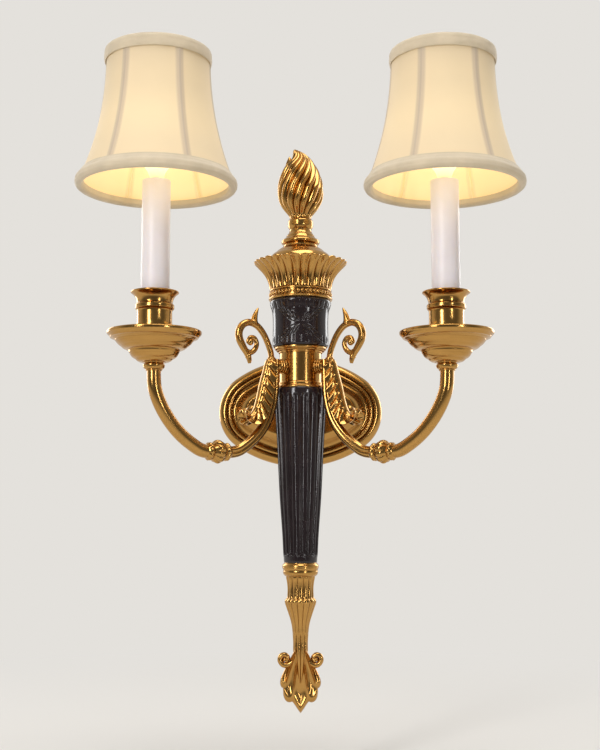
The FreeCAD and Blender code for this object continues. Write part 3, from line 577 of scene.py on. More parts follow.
def sleeve_plastic():
    """Moulded candle sleeve: white with a soft sheen; the bulb's light comes down its wall."""
    material = plain_finish(
        "moulded white sleeve", tuple(colours().sleeve), 0.38, grain=250, contrast=0.05)
    tree = material.node_tree
    height = node(tree, "ShaderNodeSeparateXYZ", {0: object_place(tree)}).outputs[2]
    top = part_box("candle_sleeve_right")[1].z
    plug(tree, tree.nodes["Principled BSDF"], {
        "Emission Strength": eased(tree, height, top - SLEEVE_GLOW_REACH, top, 0.0, 0.2),
        "Emission Color": rgba(srgb("#FFE2B4")),
        "Subsurface Weight": 0.25,
        "Subsurface Radius": (0.004, 0.003, 0.002),
        "Subsurface Scale": 1.0,
    })
    return material


def phenolic():
    """Moulded black phenolic of the lampholder."""
    return plain_finish("moulded black phenolic", "#181716", 0.35)


def cap_aluminium():
    """Drawn aluminium of the bulb's cap."""
    return plain_finish("drawn aluminium cap", "#C9C9C6", 0.3, metallic=1.0)


def plated_wire():
    """Brass plated spring wire of the clip and spider."""
    return plain_finish("brass plated wire", "#C7A668", 0.28, metallic=1.0)


def wrapped_wire():
    """Frame wire bound in cream tape, lit by the lamp beside it."""
    material = plain_finish("tape bound frame wire", "#EFE0BC", 0.8, contrast=0.15)
    tree = material.node_tree
    plug(tree, tree.nodes["Principled BSDF"], {
        "Emission Color": rgba(srgb("#FFD890")), "Emission Strength": 0.25})
    return material


def lit_glass():
    """Frosted glass of the lit bulb: white hot in the middle, warmer towards the neck and tip."""
    material, tree, shader = new_material("frosted lit glass")
    if tree is None:
        return material
    height = node(tree, "ShaderNodeSeparateXYZ", {0: object_place(tree)}).outputs[2]
    low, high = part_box("bulb_glass_right")
    share = node(tree, "ShaderNodeMapRange", {
        "Value": height, "From Min": low.z, "From Max": high.z, "To Min": 0.0, "To Max": 1.0,
    }).outputs[0]
    light = graded(tree, share, (
        (0.0, srgb("#FFE0A0")), (0.4, srgb("#FFFBEA")), (1.0, srgb("#FFE6B0"))))
    plug(tree, shader, {
        "Base Color": light, "Emission Color": light, "Emission Strength": 1.1, "Roughness": 0.45})
    return material


# how the lamplight falls on the cloth by height up the shade: (share of height, strength)
GLOW_UP_THE_SHADE = ((0, 0.62), (0.14, 0.74), (0.42, 1), (0.7, 0.72), (1, 0.34))


def shade_cloth(name, base, glow, strength, seam_shadow):
    """Woven cloth stretched over the frame and lit from inside; painted shade darkens it where
    seams double it.
    """
    material, tree, shader = new_material(name)
    if tree is None:
        return material
    uv = node(tree, "ShaderNodeUVMap", uv_map="UVMap").outputs[0]
    run = node(tree, "ShaderNodeSeparateXYZ", {0: uv}).outputs[1]
    seam = node(tree, "ShaderNodeAttribute", attribute_name="seam_gap").outputs["Fac"]
    # seam allowance: a strip about 4 mm wide each side, with the stitched line in its middle
    strip = eased(tree, seam, 5.2, 2.2, 0.0, 0.75)
    line = eased(tree, seam, 1.3, 0.4, 0.0, 0.35)
    doubled = maths(tree, "ADD", strip, line, clamp=True)
    doubled = maths(tree, "MULTIPLY", doubled, seam_shadow)
    stops = [(position, (value,) * 3) for position, value in GLOW_UP_THE_SHADE]
    # slow unevenness of the lit cloth, about 40 mm across
    cloud = maths(tree, "MULTIPLY_ADD", spots(tree, object_place(tree), 22, 2), 0.28, 0.86)
    lit = maths(tree, "MULTIPLY", graded(tree, run, stops, "EASE"), cloud)
    shut = maths(tree, "MULTIPLY_ADD", doubled, -0.7, 1.0)
    lit = maths(tree, "MULTIPLY", lit, shut)
    # painted shade: the doubled seam strips are coloured darker, towards the seam colour
    body = node(
        tree, "ShaderNodeMix", {0: doubled, 6: rgba(base), 7: rgba(colours().seam)},
        data_type="RGBA")
    # plain weave, drawn at 0.9 mm a thread because the real 0.3 mm can't show
    wide = node(tree, "ShaderNodeMapping", {"Vector": uv, "Scale": (390, 145, 1)}).outputs[0]
    warp, weft = [
        node(tree, "ShaderNodeTexWave", {"Vector": wide, "Scale": 1.0, "Distortion": 0.4},
             bands_direction=direction).outputs["Fac"]
        for direction in "XY"
    ]
    plug(tree, shader, {
        "Base Color": body.outputs[2],
        "Emission Color": rgba(glow),
        "Emission Strength": maths(tree, "MULTIPLY", lit, strength),
        "Normal": bumped(tree, maths(tree, "MULTIPLY", warp, weft), 0.2, 0.0002),
        "Roughness": 0.85,
        "Sheen Weight": 0.25,
    })
    return material


def trim_cloth():
    """Bias cloth rolled round the shade's rings: doubled, so less light comes through it."""
    material, tree, shader = new_material("rolled bias binding")
    if tree is None:
        return material
    uv = node(tree, "ShaderNodeUVMap", uv_map="UVMap").outputs[0]
    cloud = spots(tree, object_place(tree), 60, 3)
    dark, light = shaded(colours().trim, 0.86, 1.0)
    # threads on the bias, drawn about 1 mm apart
    slant = node(tree, "ShaderNodeMapping", {
        "Vector": uv, "Scale": (460, 60, 1), "Rotation": (0, 0, math.radians(45))}).outputs[0]
    threads = node(
        tree, "ShaderNodeTexWave",
        {"Vector": slant, "Scale": 1.0, "Distortion": 0.6}).outputs["Fac"]
    plug(tree, shader, {
        "Base Color": graded(tree, cloud, ((0.3, dark), (0.7, light))),
        "Normal": bumped(tree, threads, 0.2, 0.0002),
        "Roughness": 0.9,
        "Sheen Weight": 0.3,
        "Emission Color": rgba(colours().glow),
        "Emission Strength": 0.06,
    })
    return material


def fixed(bm, name, cad, place, slot="gilt_brass", finish=gilt_brass, crease=CREASE):
    """A piece that stays with the fitting, in place of a CAD piece."""
    return finished(bm, name, "fixture", slot, [finish()], place, [cad], crease)


# ---- wall side
PLATE_HALF_WIDTH = 86.5
PLATE_HALF_HEIGHT = 57.5
PLATE_END_RADIUS = 44.0
PLATE_CROWN = 20.0           # depth of the raised middle's face
PLATE_BACK = 18.5            # depth of its back
PLATE_CREASE = math.radians(15)
NUT_REACH = 51.0             # column's axis to each nut
OVAL_START = 0.0013          # part of a turn by which the grid starts past the oval's end
PLANISHED_FROM = 34.0        # inset where the faintly planished middle starts


def oval_point(turn, inset, depth):
    """A point on the plate's four-centre oval, moved in by inset and out from the wall by depth."""
    end_centre = PLATE_HALF_WIDTH - PLATE_END_RADIUS
    excess = PLATE_HALF_HEIGHT - PLATE_END_RADIUS
    side_centre = (end_centre**2 - excess**2) / (2 * excess)
    side_radius = PLATE_HALF_HEIGHT + side_centre
    half_end = math.atan2(side_centre, end_centre)
    angle = 2 * math.pi * turn
    across, up = math.cos(angle), math.sin(angle)
    if abs(math.asin(up)) < half_end:
        radius = PLATE_END_RADIUS - inset
        return Vector((math.copysign(end_centre, across) + radius * across, -depth, radius * up))
    radius = side_radius - inset
    return Vector((radius * across, -depth, radius * up - math.copysign(side_centre, up)))


# the plate's front, from its edge inwards: inset and depth along its rim, its bead and its cove
PLATE_RIM = ((0, 0), (0, 1.8), (0.6, 4), (2, 6.3), (4, 8), (6, 8.8), (7.6, 8.8), (8.5, 8.1))
PLATE_BEAD = ((8.9, 7.4), (9.5, 8.4), (10.6, 9.3), (11.9, 9.6), (13.1, 9.2), (14, 8.3), (14.4, 7.4))
PLATE_COVE = (
    (14.4, 7.4), (15.8, 7), (17.8, 7.6), (20, 9.4), (22.4, 12.2), (24.8, 15.4), (27, 18),
    (29, 19.5), (31, 20), (33, 20), (43, 20),
)


def backplate():
    """Spun oval plate: a broad rolled rim, a bead, a cove, and the raised middle."""
    front = []
    for line, parts in ((PLATE_RIM, 24), (PLATE_BEAD, 14), (PLATE_COVE, 40)):
        front += [through(line, k / parts)[0] for k in range(parts + 1)]
    middle = [0.92, 0.82, 0.7, 0.56, 0.42, 0.28, 0.14, 0.0]
    core = PLATE_COVE[-1][0]
    back = outline([
        (core, PLATE_BACK), (31.8, PLATE_BACK), (18.6, 6.4), (8, 6), (1.5, 2, -1.2), (1.5, 0)])
    rows = [(point.x, point.z, 1.0) for point in front]
    rows += [(core, PLATE_CROWN, share) for share in middle]
    rows += [(core, PLATE_BACK, share) for share in middle[::-1]]
    rows += [(point.x, point.z, 1.0) for point in back]
    rows.append(rows[0])

    def shape(turn, run):
        at = run * (len(rows) - 1)
        step = min(int(at), len(rows) - 2)
        inset, depth, share = [
            a + (b - a) * (at - step) for a, b in zip(rows[step], rows[step + 1])]
        point = oval_point(turn + OVAL_START, inset, depth)
        point = Vector((point.x * share, point.y, point.z * share))
        if inset > PLANISHED_FROM and depth > PLATE_BACK + 0.5:
            fade = min(1.0, (inset - PLANISHED_FROM) / 4)
            point.y -= 0.12 * fade * noise.noise(Vector((point.x, 3.1, point.z)) * 0.16)
        return point

    return wrapped(320, len(rows) - 1, shape, caps=False)


def ball_nut():
    """Ball nut on its turned foot."""
    return turned([
        (0, 0), (4.6, 0), (4.8, 0.5, 0.2), (4.6, 1.3, 0.3), (3.3, 2.2, -0.3), (3.6, 2.8),
        (5.4, 7, 0.7), (3.6, 11.2, 0.7), (0.01, 12.6, 0.5),
    ], steps=48)


def facing_room(x, y, z=0.0):
    """Turns a turning's +Z to face -Y, at a place."""
    return Matrix.Translation((x, y, z)) @ Matrix.Rotation(math.radians(90), 4, "X")


class OBJECT_OT_sconce_plate(bpy.types.Operator):
    """Builds the oval wall plate and the two ball nuts that hold it"""
    bl_idname = "object.sconce_plate"
    bl_label = "Wall plate"

    def execute(self, context):
        fixed(backplate(), "oval_plate", "backplate", Matrix(), crease=PLATE_CREASE)
        nuts = copies(ball_nut(), [facing_room(x, -PLATE_CROWN) for x in (-NUT_REACH, NUT_REACH)])
        fixed(nuts, "plate_nuts", "ball_cap_nuts", Matrix())
        rosette = turned([
            (6.55, 0), (15, 0), (15.2, 0.8, 0.1), (14.6, 1.7, 0.2), (12, 2.4, -0.4), (10.4, 3),
            (10.6, 3.8, 0.3), (9.2, 4.2), (6.55, 4.2),
        ], steps=64)
        fixed(rosette, "neck_collar", "neck_rosette", facing_room(0, -PLATE_CROWN))
        return {"FINISHED"}


# ---- column
class OBJECT_OT_sconce_turnings(bpy.types.Operator):
    """Builds the column's smooth turned pieces: dome, finial foot, hub and lower collar"""
    bl_idname = "object.sconce_turnings"
    bl_label = "Column turnings"

    def execute(self, context):
        outlines = {
            "crown_cap": ("crown_dome", [
                (3.25, 144), (33.2, 144), (33.4, 145.6, 0.2), (32.6, 147.2, 0.2),
                (25.6, 156.2, 1.3), (17.9, 162, 0.4), (17.5, 163.4), (3.25, 163.4),
            ]),
            "finial_base": ("finial_foot", [
                (3.25, 163.4), (16.6, 163.4), (16.3, 164.4, -0.1), (18.1, 165.3),
                (19.2, 166.6, 0.3), (19.2, 168.4, 0.35), (18.1, 169.6, 0.3), (16.9, 170),
                (14.2, 174.2, -0.4), (11.2, 179.6, -0.5), (10.9, 180.6), (11.9, 182, 0.1),
                (12.9, 186.4, 0.4), (11.9, 190.6, 0.4), (10.6, 191.6), (10.6, 192.3), (3.25, 192.3),
            ]),
            "hub": ("arm_hub", [
                (3.25, 17.2), (25.2, 17.2), (25.6, 18, 0.1), (25, 19.2, 0.25), (22.6, 20),
                (22.3, 20.8, -0.1), (22.8, 21.6, 0.2), (22.4, 23, 0.25), (21.3, 23.6), (21.2, 52.4),
                (21.9, 52.9), (22.2, 54, 0.2), (24, 55, -0.3), (24.4, 56), (25.6, 56.7, 0.1),
                (26, 58, 0.2), (25.4, 59.3, 0.2), (3.25, 59.3),
            ]),
            "shaft_collar": ("lower_collar", [
                (3.25, -168.6), (14.6, -168.6), (16.1, -167.4, 0.2), (17.2, -165.6, 0.3),
                (17.3, -163.6, 0.1), (17.2, -162.6, -0.05), (17.4, -161.6, -0.05),
                (17.9, -159.6, 0.3), (17.5, -157.2, 0.4), (16.6, -156.2, 0.1), (16.3, -156),
                (16, -155.4, 0.1), (3.25, -155.4),
            ]),
        }
        for name, (cad, corners) in outlines.items():
            fixed(turned(corners), name, cad, column_place())
        return {"FINISHED"}


# height, ribs' radius, degrees of twist and lean of the tip
FLAME = (
    (192.3, 11, 0, 0), (194.5, 11.6, 0, 0), (198, 14.3, 1, 0), (202, 17.6, 3, 0),
    (206.5, 20.6, 6, 0), (211.5, 22.5, 10, 0), (217, 23.4, 15, 0), (222.5, 23.5, 20, 0),
    (228.5, 22.9, 29, 0), (235, 21.5, 38, 0), (241.5, 19, 48, 0), (246.5, 16.3, 56, 0.1),
    (250.5, 13.5, 62, 0.4), (254, 10.7, 68, 0.6), (257, 8.5, 73, 0.1), (260, 6.4, 79, -1.4),
    (262.5, 4.3, 84, -3.4), (264.4, 2.2, 88, -5.1), (265.3, 0.5, 90, -5.9),
)
TONGUE = ((-12.8, 234), (-12.4, 241), (-11.9, 248), (-11.4, 253), (-11.1, 257.2))


def flame():
    """Twisted flame of rounded ribs, its tip drawn over to the left of a smaller side tongue."""
    ribs = sizes().flame_ribs
    low, high = FLAME[0][0], FLAME[-1][0]

    def shape(turn, run):
        z = low + (high - low) * (run - 0.06 * math.sin(2 * math.pi * run))
        radius, twist, lean = level(FLAME, z)
        angle = 2 * math.pi * turn
        # broad rounded ribs between narrow valleys
        rib = abs(math.sin(ribs * angle / 2)) ** 0.75
        reach = radius * (1 - 0.17 * (1 - rib) * min(1.0, run * 12))
        return polar(reach, angle + math.radians(twist), z) + Vector((lean, 0, 0))

    def tongue(turn, run):
        place, way = through(TONGUE, run)
        angle = 2 * math.pi * turn
        size = 0.2 + 5.2 * (1 - run) ** 0.62
        rib = 1 - 0.14 * (1 - abs(math.sin(3 * angle)) ** 0.75)
        out = Vector((way.z, 0, -way.x)) * (size * rib * math.cos(angle))
        return place + out + Vector((0, size * rib * math.sin(angle) - 1.5, 0))

    return joined(wrapped(ribs * 12, 84, shape), wrapped(48, 28, tongue))


# height, valleys' radius and crests' radius
CROWN = (
    (118, 30.4, 31.2), (121.5, 30.4, 31.6), (125.5, 30.9, 32.4), (129.5, 32, 33.8), (133.5, 34, 36),
    (137, 36.4, 38.8), (140, 39.2, 41.8), (143, 42.6, 45.2), (144.8, 44.6, 47.2), (145.5, 45, 47.6),
)
CROWN_OUTSIDE = 0.75         # share of the grid that lies outside the lip


def crown():
    """Flared crown of long leaves, each with a raised middle vein, and a scalloped lip."""
    leaves = sizes().crown_leaves
    low, high = CROWN[0][0], CROWN[-1][0]
    # steps over the lip and down its inside: height and radius
    inside = (
        (0, 145.5, 47.6), (1, 146.3, 46.8), (2, 146, 45.2), (3, 144.4, 43), (4, 141.3, 39.4),
        (5, 139, 35.6), (6, 138.6, 33.6),
    )

    def shape(turn, run):
        angle = 2 * math.pi * turn
        lobe = abs(math.sin(leaves * angle / 2))
        belly = lobe**0.6
        vein = math.exp(-(((1 - lobe) / 0.012) ** 2))
        if run < CROWN_OUTSIDE:
            share = run / CROWN_OUTSIDE
            z = low + (high - low) * (1 - (1 - share) ** 1.25)
            valley, crest = level(CROWN, z)
            radius = valley + (crest - valley) * belly - 0.5 * (1 - belly)
            radius += 0.55 * vein * math.sin(math.pi * min(1.0, share * 1.1)) ** 0.7
            fan = share**5
        else:
            share = (run - CROWN_OUTSIDE) / (1 - CROWN_OUTSIDE) * inside[-1][0]
            z, radius = level(inside, share)
            fan = max(0.0, 1 - share / 4)
            radius -= (1 - belly) * 3.1 * fan
        z += 2.4 * (belly - 0.7) * fan
        return polar(radius, angle, z)

    return wrapped(leaves * 14, 76, shape)


def beaded_band():
    """Band under the crown: two fillets with a row of oval beads between them."""
    beads = sizes().band_beads
    ring = turned([
        (3.25, 107), (31.4, 107), (32.2, 107.7, 0.15), (32.2, 109, 0.2), (31.2, 109.6), (30.4, 110),
        (30.4, 115.2), (31, 115.6), (31.6, 116.5, 0.25), (31, 117.4, 0.2), (30.4, 118), (3.25, 118),
    ])
    row = copies(ball(1.0, (0, 0, 0), (1.4, 1.85, 2.2), around=12), [
        Matrix.Rotation(2 * math.pi * k / beads, 4, "Z") @ Matrix.Translation((30.7, 0, 112.6))
        for k in range(beads)
    ])
    return joined(ring, row)


class OBJECT_OT_sconce_finial(bpy.types.Operator):
    """Builds the flame, the crown of leaves and its beaded band"""
    bl_idname = "object.sconce_finial"
    bl_label = "Flame and crown"

    def execute(self, context):
        fixed(flame(), "flame", "flame_finial", column_place())
        fixed(crown(), "leaf_crown", "crown", column_place())
        fixed(beaded_band(), "bead_band", "beaded_band", column_place())
        return {"FINISHED"}


DRUM = (
    (59.3, 27.2), (61, 28.3), (70, 28.2), (80, 28), (90, 28.2), (96, 28.9), (100.5, 30.4),
    (103, 31), (105, 30.9), (107, 29.6),
)
DRUM_RADIUS = 28.2
CROSSINGS = 3
FRONT_CROSSING = 0.25 + 0.5 / CROSSINGS      # part of a turn that brings a crossing to the front
CROSSING_HEIGHT = 80.5
SPRIG_LENGTH = 31.0
SPRIG_SLOPE = math.atan2(18.5, 25.0)
SHORT_FLUTES = 27            # in each of the two rings
SHORT_FLUTE_HEIGHTS = (65.2, 99.6)
CUT_DEPTH = 0.6
# where each leaflet leaves its sprig's stalk, the angle it makes with it, and its length
LEAFLETS = (
    (0.08, 0.36, 12), (0.12, -0.34, 12), (0.30, 0.30, 12.5), (0.38, -0.30, 11.5), (0.56, 0.26, 11),
    (0.64, -0.26, 9.5),
)


def leaf_mark(across, up, foot, angle, length, width):
    """Depth, 0 to 1, of a long narrow leaf's outline, from its foot along angle."""
    dx, dz = across - foot[0], up - foot[1]
    run = (dx * math.cos(angle) + dz * math.sin(angle)) / length
    side = -dx * math.sin(angle) + dz * math.cos(angle)
    if not 0 < run < 1:
        return 0.0
    half = width * math.sin(math.pi * run**0.8)
    return math.exp(-(((abs(side) - half) / 0.34) ** 2)) * min(1.0, 6 * run, 6 * (1 - run))


def sprig_depth(turn, z):
    """Depth, 0 to 1, of the drum's cuts: crossings of four leafy arms, and short flutes."""
    motif = (turn * CROSSINGS) % 1 - 0.5
    across = motif * 2 * math.pi * DRUM_RADIUS / CROSSINGS
    up = z - CROSSING_HEIGHT
    side = math.copysign(1, across)
    lift = math.copysign(1, up)
    base = lift * (SPRIG_SLOPE if side == 1 else math.pi - SPRIG_SLOPE)
    deepest = leaf_mark(across, up, (0, 0), base, SPRIG_LENGTH, 0.05)
    for along_stalk, spread, length in LEAFLETS:
        reach = along_stalk * SPRIG_LENGTH
        foot = (reach * math.cos(base), reach * math.sin(base))
        angle = base + spread * side * lift
        deepest = max(deepest, leaf_mark(across, up, foot, angle, length, 1.5))
    # short upright flutes along both edges
    pitch = 2 * math.pi * DRUM_RADIUS / SHORT_FLUTES
    stroke = abs(((turn * SHORT_FLUTES) % 1) - 0.5) * pitch / 1.3
    for middle in SHORT_FLUTE_HEIGHTS:
        ends = abs(z - middle) / 4.2
        if stroke < 1 and ends < 1:
            deepest = max(deepest, 0.8 * (1 - stroke**2) * (1 - ends**4))
    return deepest


def upper_drum():
    """Black drum with a flared top, cut with crossed leafy sprigs."""
    return ringed(600, 160, DRUM, lambda turn, z: (
        table(DRUM, z) - CUT_DEPTH * sprig_depth(turn + FRONT_CROSSING, z)))


SHAFT = (
    (-155.4, 16), (-154.2, 16.5), (-128, 17.9), (-90, 20.6), (-42, 23.1), (-5, 25.2), (15.6, 26),
    (17.2, 25),
)


def fluted_shaft():
    """Black tapering shaft: round-ended flutes, with a fine fillet along each edge."""
    flutes = sizes().shaft_flutes
    foot, head = -148.6, 11.0

    def fluted(turn, z):
        radius = table(SHAFT, z)
        half = radius * math.pi / flutes * 0.8
        side = abs(((turn * flutes) % 1) - 0.5) * 2 * math.pi * radius / flutes
        ends = min(z - foot, head - z) / half
        if ends > 0:
            width = half * math.sqrt(max(0.0, 1 - (1 - min(1.0, ends)) ** 2))
            if side < width:
                radius -= 1.25 * (1 - (side / width) ** 2) ** 0.75
            elif side < width + 0.35:
                radius += 0.12
        return radius

    return ringed(flutes * 16, 150, SHAFT, fluted)


class OBJECT_OT_sconce_black_pieces(bpy.types.Operator):
    """Builds the black cut drum and the black fluted shaft"""
    bl_idname = "object.sconce_black_pieces"
    bl_label = "Drum and shaft"

    def execute(self, context):
        black = column_place(), "black_lacquer", black_lacquer
        fixed(upper_drum(), "cut_drum", "upper_drum", *black)
        fixed(fluted_shaft(), "shaft", "fluted_column", *black)
        return {"FINISHED"}


# height, radius and flute depth
BALUSTER = (
    (-222.8, 8, 0.5), (-217.5, 8.6, 0.7), (-211.5, 9.9, 0.9), (-205, 12, 1.1), (-198.5, 14.3, 1.2),
    (-195, 15.5, 1.2), (-192.6, 15.8, 0.9), (-190.9, 14.9, 0.7), (-189.6, 13.6, 1.1),
    (-186, 13.2, 1.1), (-180, 13.1, 1.1), (-174, 13.7, 1.1), (-170, 14.5, 1), (-168.6, 14.5, 0.7),
)
BALUSTER_REEDS = 14


def baluster():
    """Fluted neck, shoulder and taper, with rounded reeds between the flutes."""
    def reeded(turn, z):
        reed = abs(math.sin(math.pi * BALUSTER_REEDS * turn))
        return table(BALUSTER, z) - table(BALUSTER, z, 2) * (1 - reed**0.7)
    return ringed(BALUSTER_REEDS * 12, 80, BALUSTER, reeded)


# the palmette's outline: degrees from straight down, and reach from the root of the fan
FAN_RIM = (
    (0, 72.5), (2.5, 68.6), (5, 64.8), (7, 62.4), (7.8, 62), (8.8, 62.7), (10.5, 63.1),
    (12.5, 62.7), (14.5, 61.3), (16.5, 58.6), (18.4, 54.4), (19.5, 51.6), (20.4, 51.5), (22, 50.8),
    (24, 49), (25.5, 46.4), (26.4, 43.6), (26.8, 41),
)
FAN_ROOT = -228.0
FAN_HALF = 26.8
FAN_RIDGES = (-7.8, 7.8, 19.5, 26.8)
# share of the reach, half thickness, depth of the hollows, rise of the rolled ends
FAN_RUNS = (
    (0.10, 5.2, 0.2, 0), (0.20, 5.6, 0.7, 0), (0.30, 5.5, 1.3, 0), (0.40, 5, 1.8, 0),
    (0.50, 4.4, 2.1, 0), (0.60, 3.9, 2.2, 0), (0.70, 3.5, 2.3, 0), (0.78, 3.3, 2.2, 0.2),
    (0.85, 3.1, 1.9, 1.2), (0.90, 2.9, 1.5, 2.1), (0.94, 2.6, 1, 2.2), (0.975, 1.9, 0.5, 1.3),
    (1, 0, 0, 0),
)


def palmette():
    """Cast palmette, alike front and back: five hollowed lobes with rolled ends."""
    def shape(turn, run):
        # once round the section: the front from left to right, then the back
        turn %= SECTION_END
        face = 1 if turn <= 0.5 else -1
        angle = (4 * turn - 1 if face == 1 else 3 - 4 * turn) * FAN_HALF
        size = min(FAN_HALF, abs(angle))
        share = 0.1 + 0.9 * run
        half, depth, curl = level(FAN_RUNS, share)
        low, high = [pair for pair in zip(FAN_RIDGES, FAN_RIDGES[1:]) if size <= pair[1] + 1e-6][0]
        across = (2 * size - low - high) / (high - low)
        hollow = 1 - abs(across) ** 1.5
        thick = half + (curl - depth) * hollow + 0.45 * depth * abs(across) ** 6
        thick *= min(1.0, ((FAN_HALF - size) / 1.1) ** 0.5) if size < FAN_HALF else 0.0
        reach = table(FAN_RIM, size) * share
        swing = math.radians(angle)
        return Vector((
            reach * math.sin(swing), -face * max(0.0, thick), FAN_ROOT - reach * math.cos(swing)))

    return wrapped(240, 64, shape)


VOLUTE = (
    (3, -243), (6.5, -249.6), (11.6, -254), (16.8, -254.2), (20, -250.2), (19.1, -245.8),
    (15.3, -244.5), (12.4, -247.2), (13.4, -250.2), (15.4, -250.3),
)


def volute():
    """Rolled scroll at the palmette's side, thick at its outside and ending in an eye."""
    def flat(turn):
        angle = 2 * math.pi * turn
        return math.cos(angle), 1.3 * math.sin(angle)

    coil = bar(
        VOLUTE, lambda run: 3.1 - 1.1 * run, around=32, lengthwise=90, section=flat, line=through)
    return joined(coil, ball(2.3, (15.4, 0, -249.0), (1, 1.35, 1)))


def drop():
    """The waisted stem, the palmette and its two scrolls."""
    rows = (
        (-272, 2), (-264, 4.2), (-256, 5.9), (-248, 6.9), (-240, 7.3), (-232, 7.3), (-222.8, 7.9),
    )

    def reeded(turn, z):
        reed = abs(math.sin(5 * (2 * math.pi * turn - math.pi / 2))) ** 0.8
        return table(rows, z) - 1.1 * (1 - reed) * min(1.0, (rows[-1][0] - z) / 3)

    right = volute()
    left = volute()
    left.transform(Matrix.Scale(-1, 4, (1, 0, 0)))
    bmesh.ops.reverse_faces(left, faces=left.faces[:])
    return joined(ringed(120, 70, rows, reeded), palmette(), right, left)


class OBJECT_OT_sconce_drop(bpy.types.Operator):
    """Builds the fluted baluster and the palmette drop below the shaft"""
    bl_idname = "object.sconce_drop"
    bl_label = "Baluster and palmette"

    def execute(self, context):
        fixed(baluster(), "baluster", "lower_baluster", column_place())
        fixed(drop(), "palmette", "palmette_drop", column_place())
        return {"FINISHED"}


# ---- arms
INNER_ARM = (
    (31.8, 45), (31.8, 20), (33.5, 3), (39.5, -15.5), (50, -30), (63, -41), (76, -49), (85.5, -49),
)
OUTER_ARM = (
    (109.5, -49), (114.5, -49), (124.5, -44), (138, -35), (150, -23), (159.5, -9.5), (165.6, 3.5),
    (167.7, 14), (167.7, 29),
)
KNOP_MIDDLE = (97.5, -49.0)


def inner_arm():
    """Cast arm with three rounded reeds on each face."""
    def section(turn):
        angle = 2 * math.pi * turn
        a, b = 5.6 * math.cos(angle), 3.9 * math.sin(angle)
        reed = abs(math.cos(3 * math.acos(max(-1.0, min(1.0, math.cos(angle))))))
        return a * (1 - 0.03 * (1 - reed)), b * (1 - 0.24 * (1 - reed) * abs(math.sin(angle)))
    return bar(INNER_ARM, 1.0, around=72, lengthwise=90, section=section)


def outer_arm():
    """Plain round tube."""
    return bar(OUTER_ARM, sizes().tube_radius / MM, around=40, lengthwise=90)


def knop():
    """Knop at the arm's joint: a bold gadrooned bead between two small ones."""
    rows = (
        (-13, 6.4, 0), (-12.2, 7.3, 0.3), (-10, 8.9, 1), (-7.8, 8.2, 0.8), (-6.9, 7.3, 0.2),
        (-6.2, 7.9, 0.3), (-3, 10.6, 1.4), (0, 11.4, 1.7), (3, 10.6, 1.4), (6.2, 7.9, 0.3),
        (6.9, 7.3, 0.2), (7.8, 8.2, 0.8), (10, 8.9, 1), (12.2, 7.3, 0.3), (13, 6.4, 0),
    )

    def shape(turn, run):
        x = rows[0][0] + (rows[-1][0] - rows[0][0]) * run
        angle = 2 * math.pi * turn
        lobe = abs(math.sin(5 * (angle + 0.03 * x))) ** 0.8
        radius = table(rows, x) - 0.85 * table(rows, x, 2) * (1 - lobe)
        middle, height = KNOP_MIDDLE
        return Vector((middle + x, radius * math.cos(angle), height + radius * math.sin(angle)))

    return wrapped(144, 72, shape)


def boss():
    """Reeded boss with three rings, between the hub and the arm."""
    bm = turned([
        (0.01, 20.9), (7.4, 20.9), (7.8, 21.6, 0.1), (7.4, 22.5, 0.2), (6.6, 22.8),
        (7.3, 23.6, 0.1), (7.2, 24.8, 0.2), (6.2, 25.2), (6.8, 26, 0.1), (6.6, 27.1, 0.2),
        (5.6, 27.6), (5.2, 30), (0.01, 30),
    ], steps=48)
    bm.transform(Matrix.Translation((0, 0, 38.5)) @ Matrix.Rotation(math.radians(90), 4, "Y"))
    return bm


class OBJECT_OT_sconce_arms(bpy.types.Operator):
    """Builds both arms: boss, reeded inner arm, knop and plain outer tube"""
    bl_idname = "object.sconce_arms"
    bl_label = "Arms"

    def execute(self, context):
        gilt = arm_place, "gilt_brass", [gilt_brass()]
        both_sides(boss, "boss", "arm_boss", *gilt)
        both_sides(inner_arm, "reeded_arm", "inner_arm", *gilt)
        both_sides(knop, "knop", "arm_knop", *gilt)
        both_sides(outer_arm, "outer_tube", "arm_tube", *gilt)
        return {"FINISHED"}


# the acanthus leaf's midrib, from the boss to the curled tip
LEAF_RIB = (
    (35, 46.8), (41, 42.6), (44.8, 31), (48.8, 18), (52, 5), (55.4, -5), (60.2, -11.4),
    (64.8, -9.8), (63.4, -5.6),
)
# share of the length, half width, how far the sides fold back towards the arm
LEAF_WIDTH = (
    (0, 3.4, 4.5), (0.1, 7, 9), (0.25, 8.8, 12), (0.42, 9.2, 13.5), (0.6, 8.6, 13), (0.74, 7.4, 10),
    (0.86, 5.4, 4.5), (1, 2.6, 1),
)
LEAF_LOBES = 12
LEAF_BEND = math.radians(82)
LEAF_SHEET = 1.4
LEAF_TIP = 0.22              # share of the length that is the tip


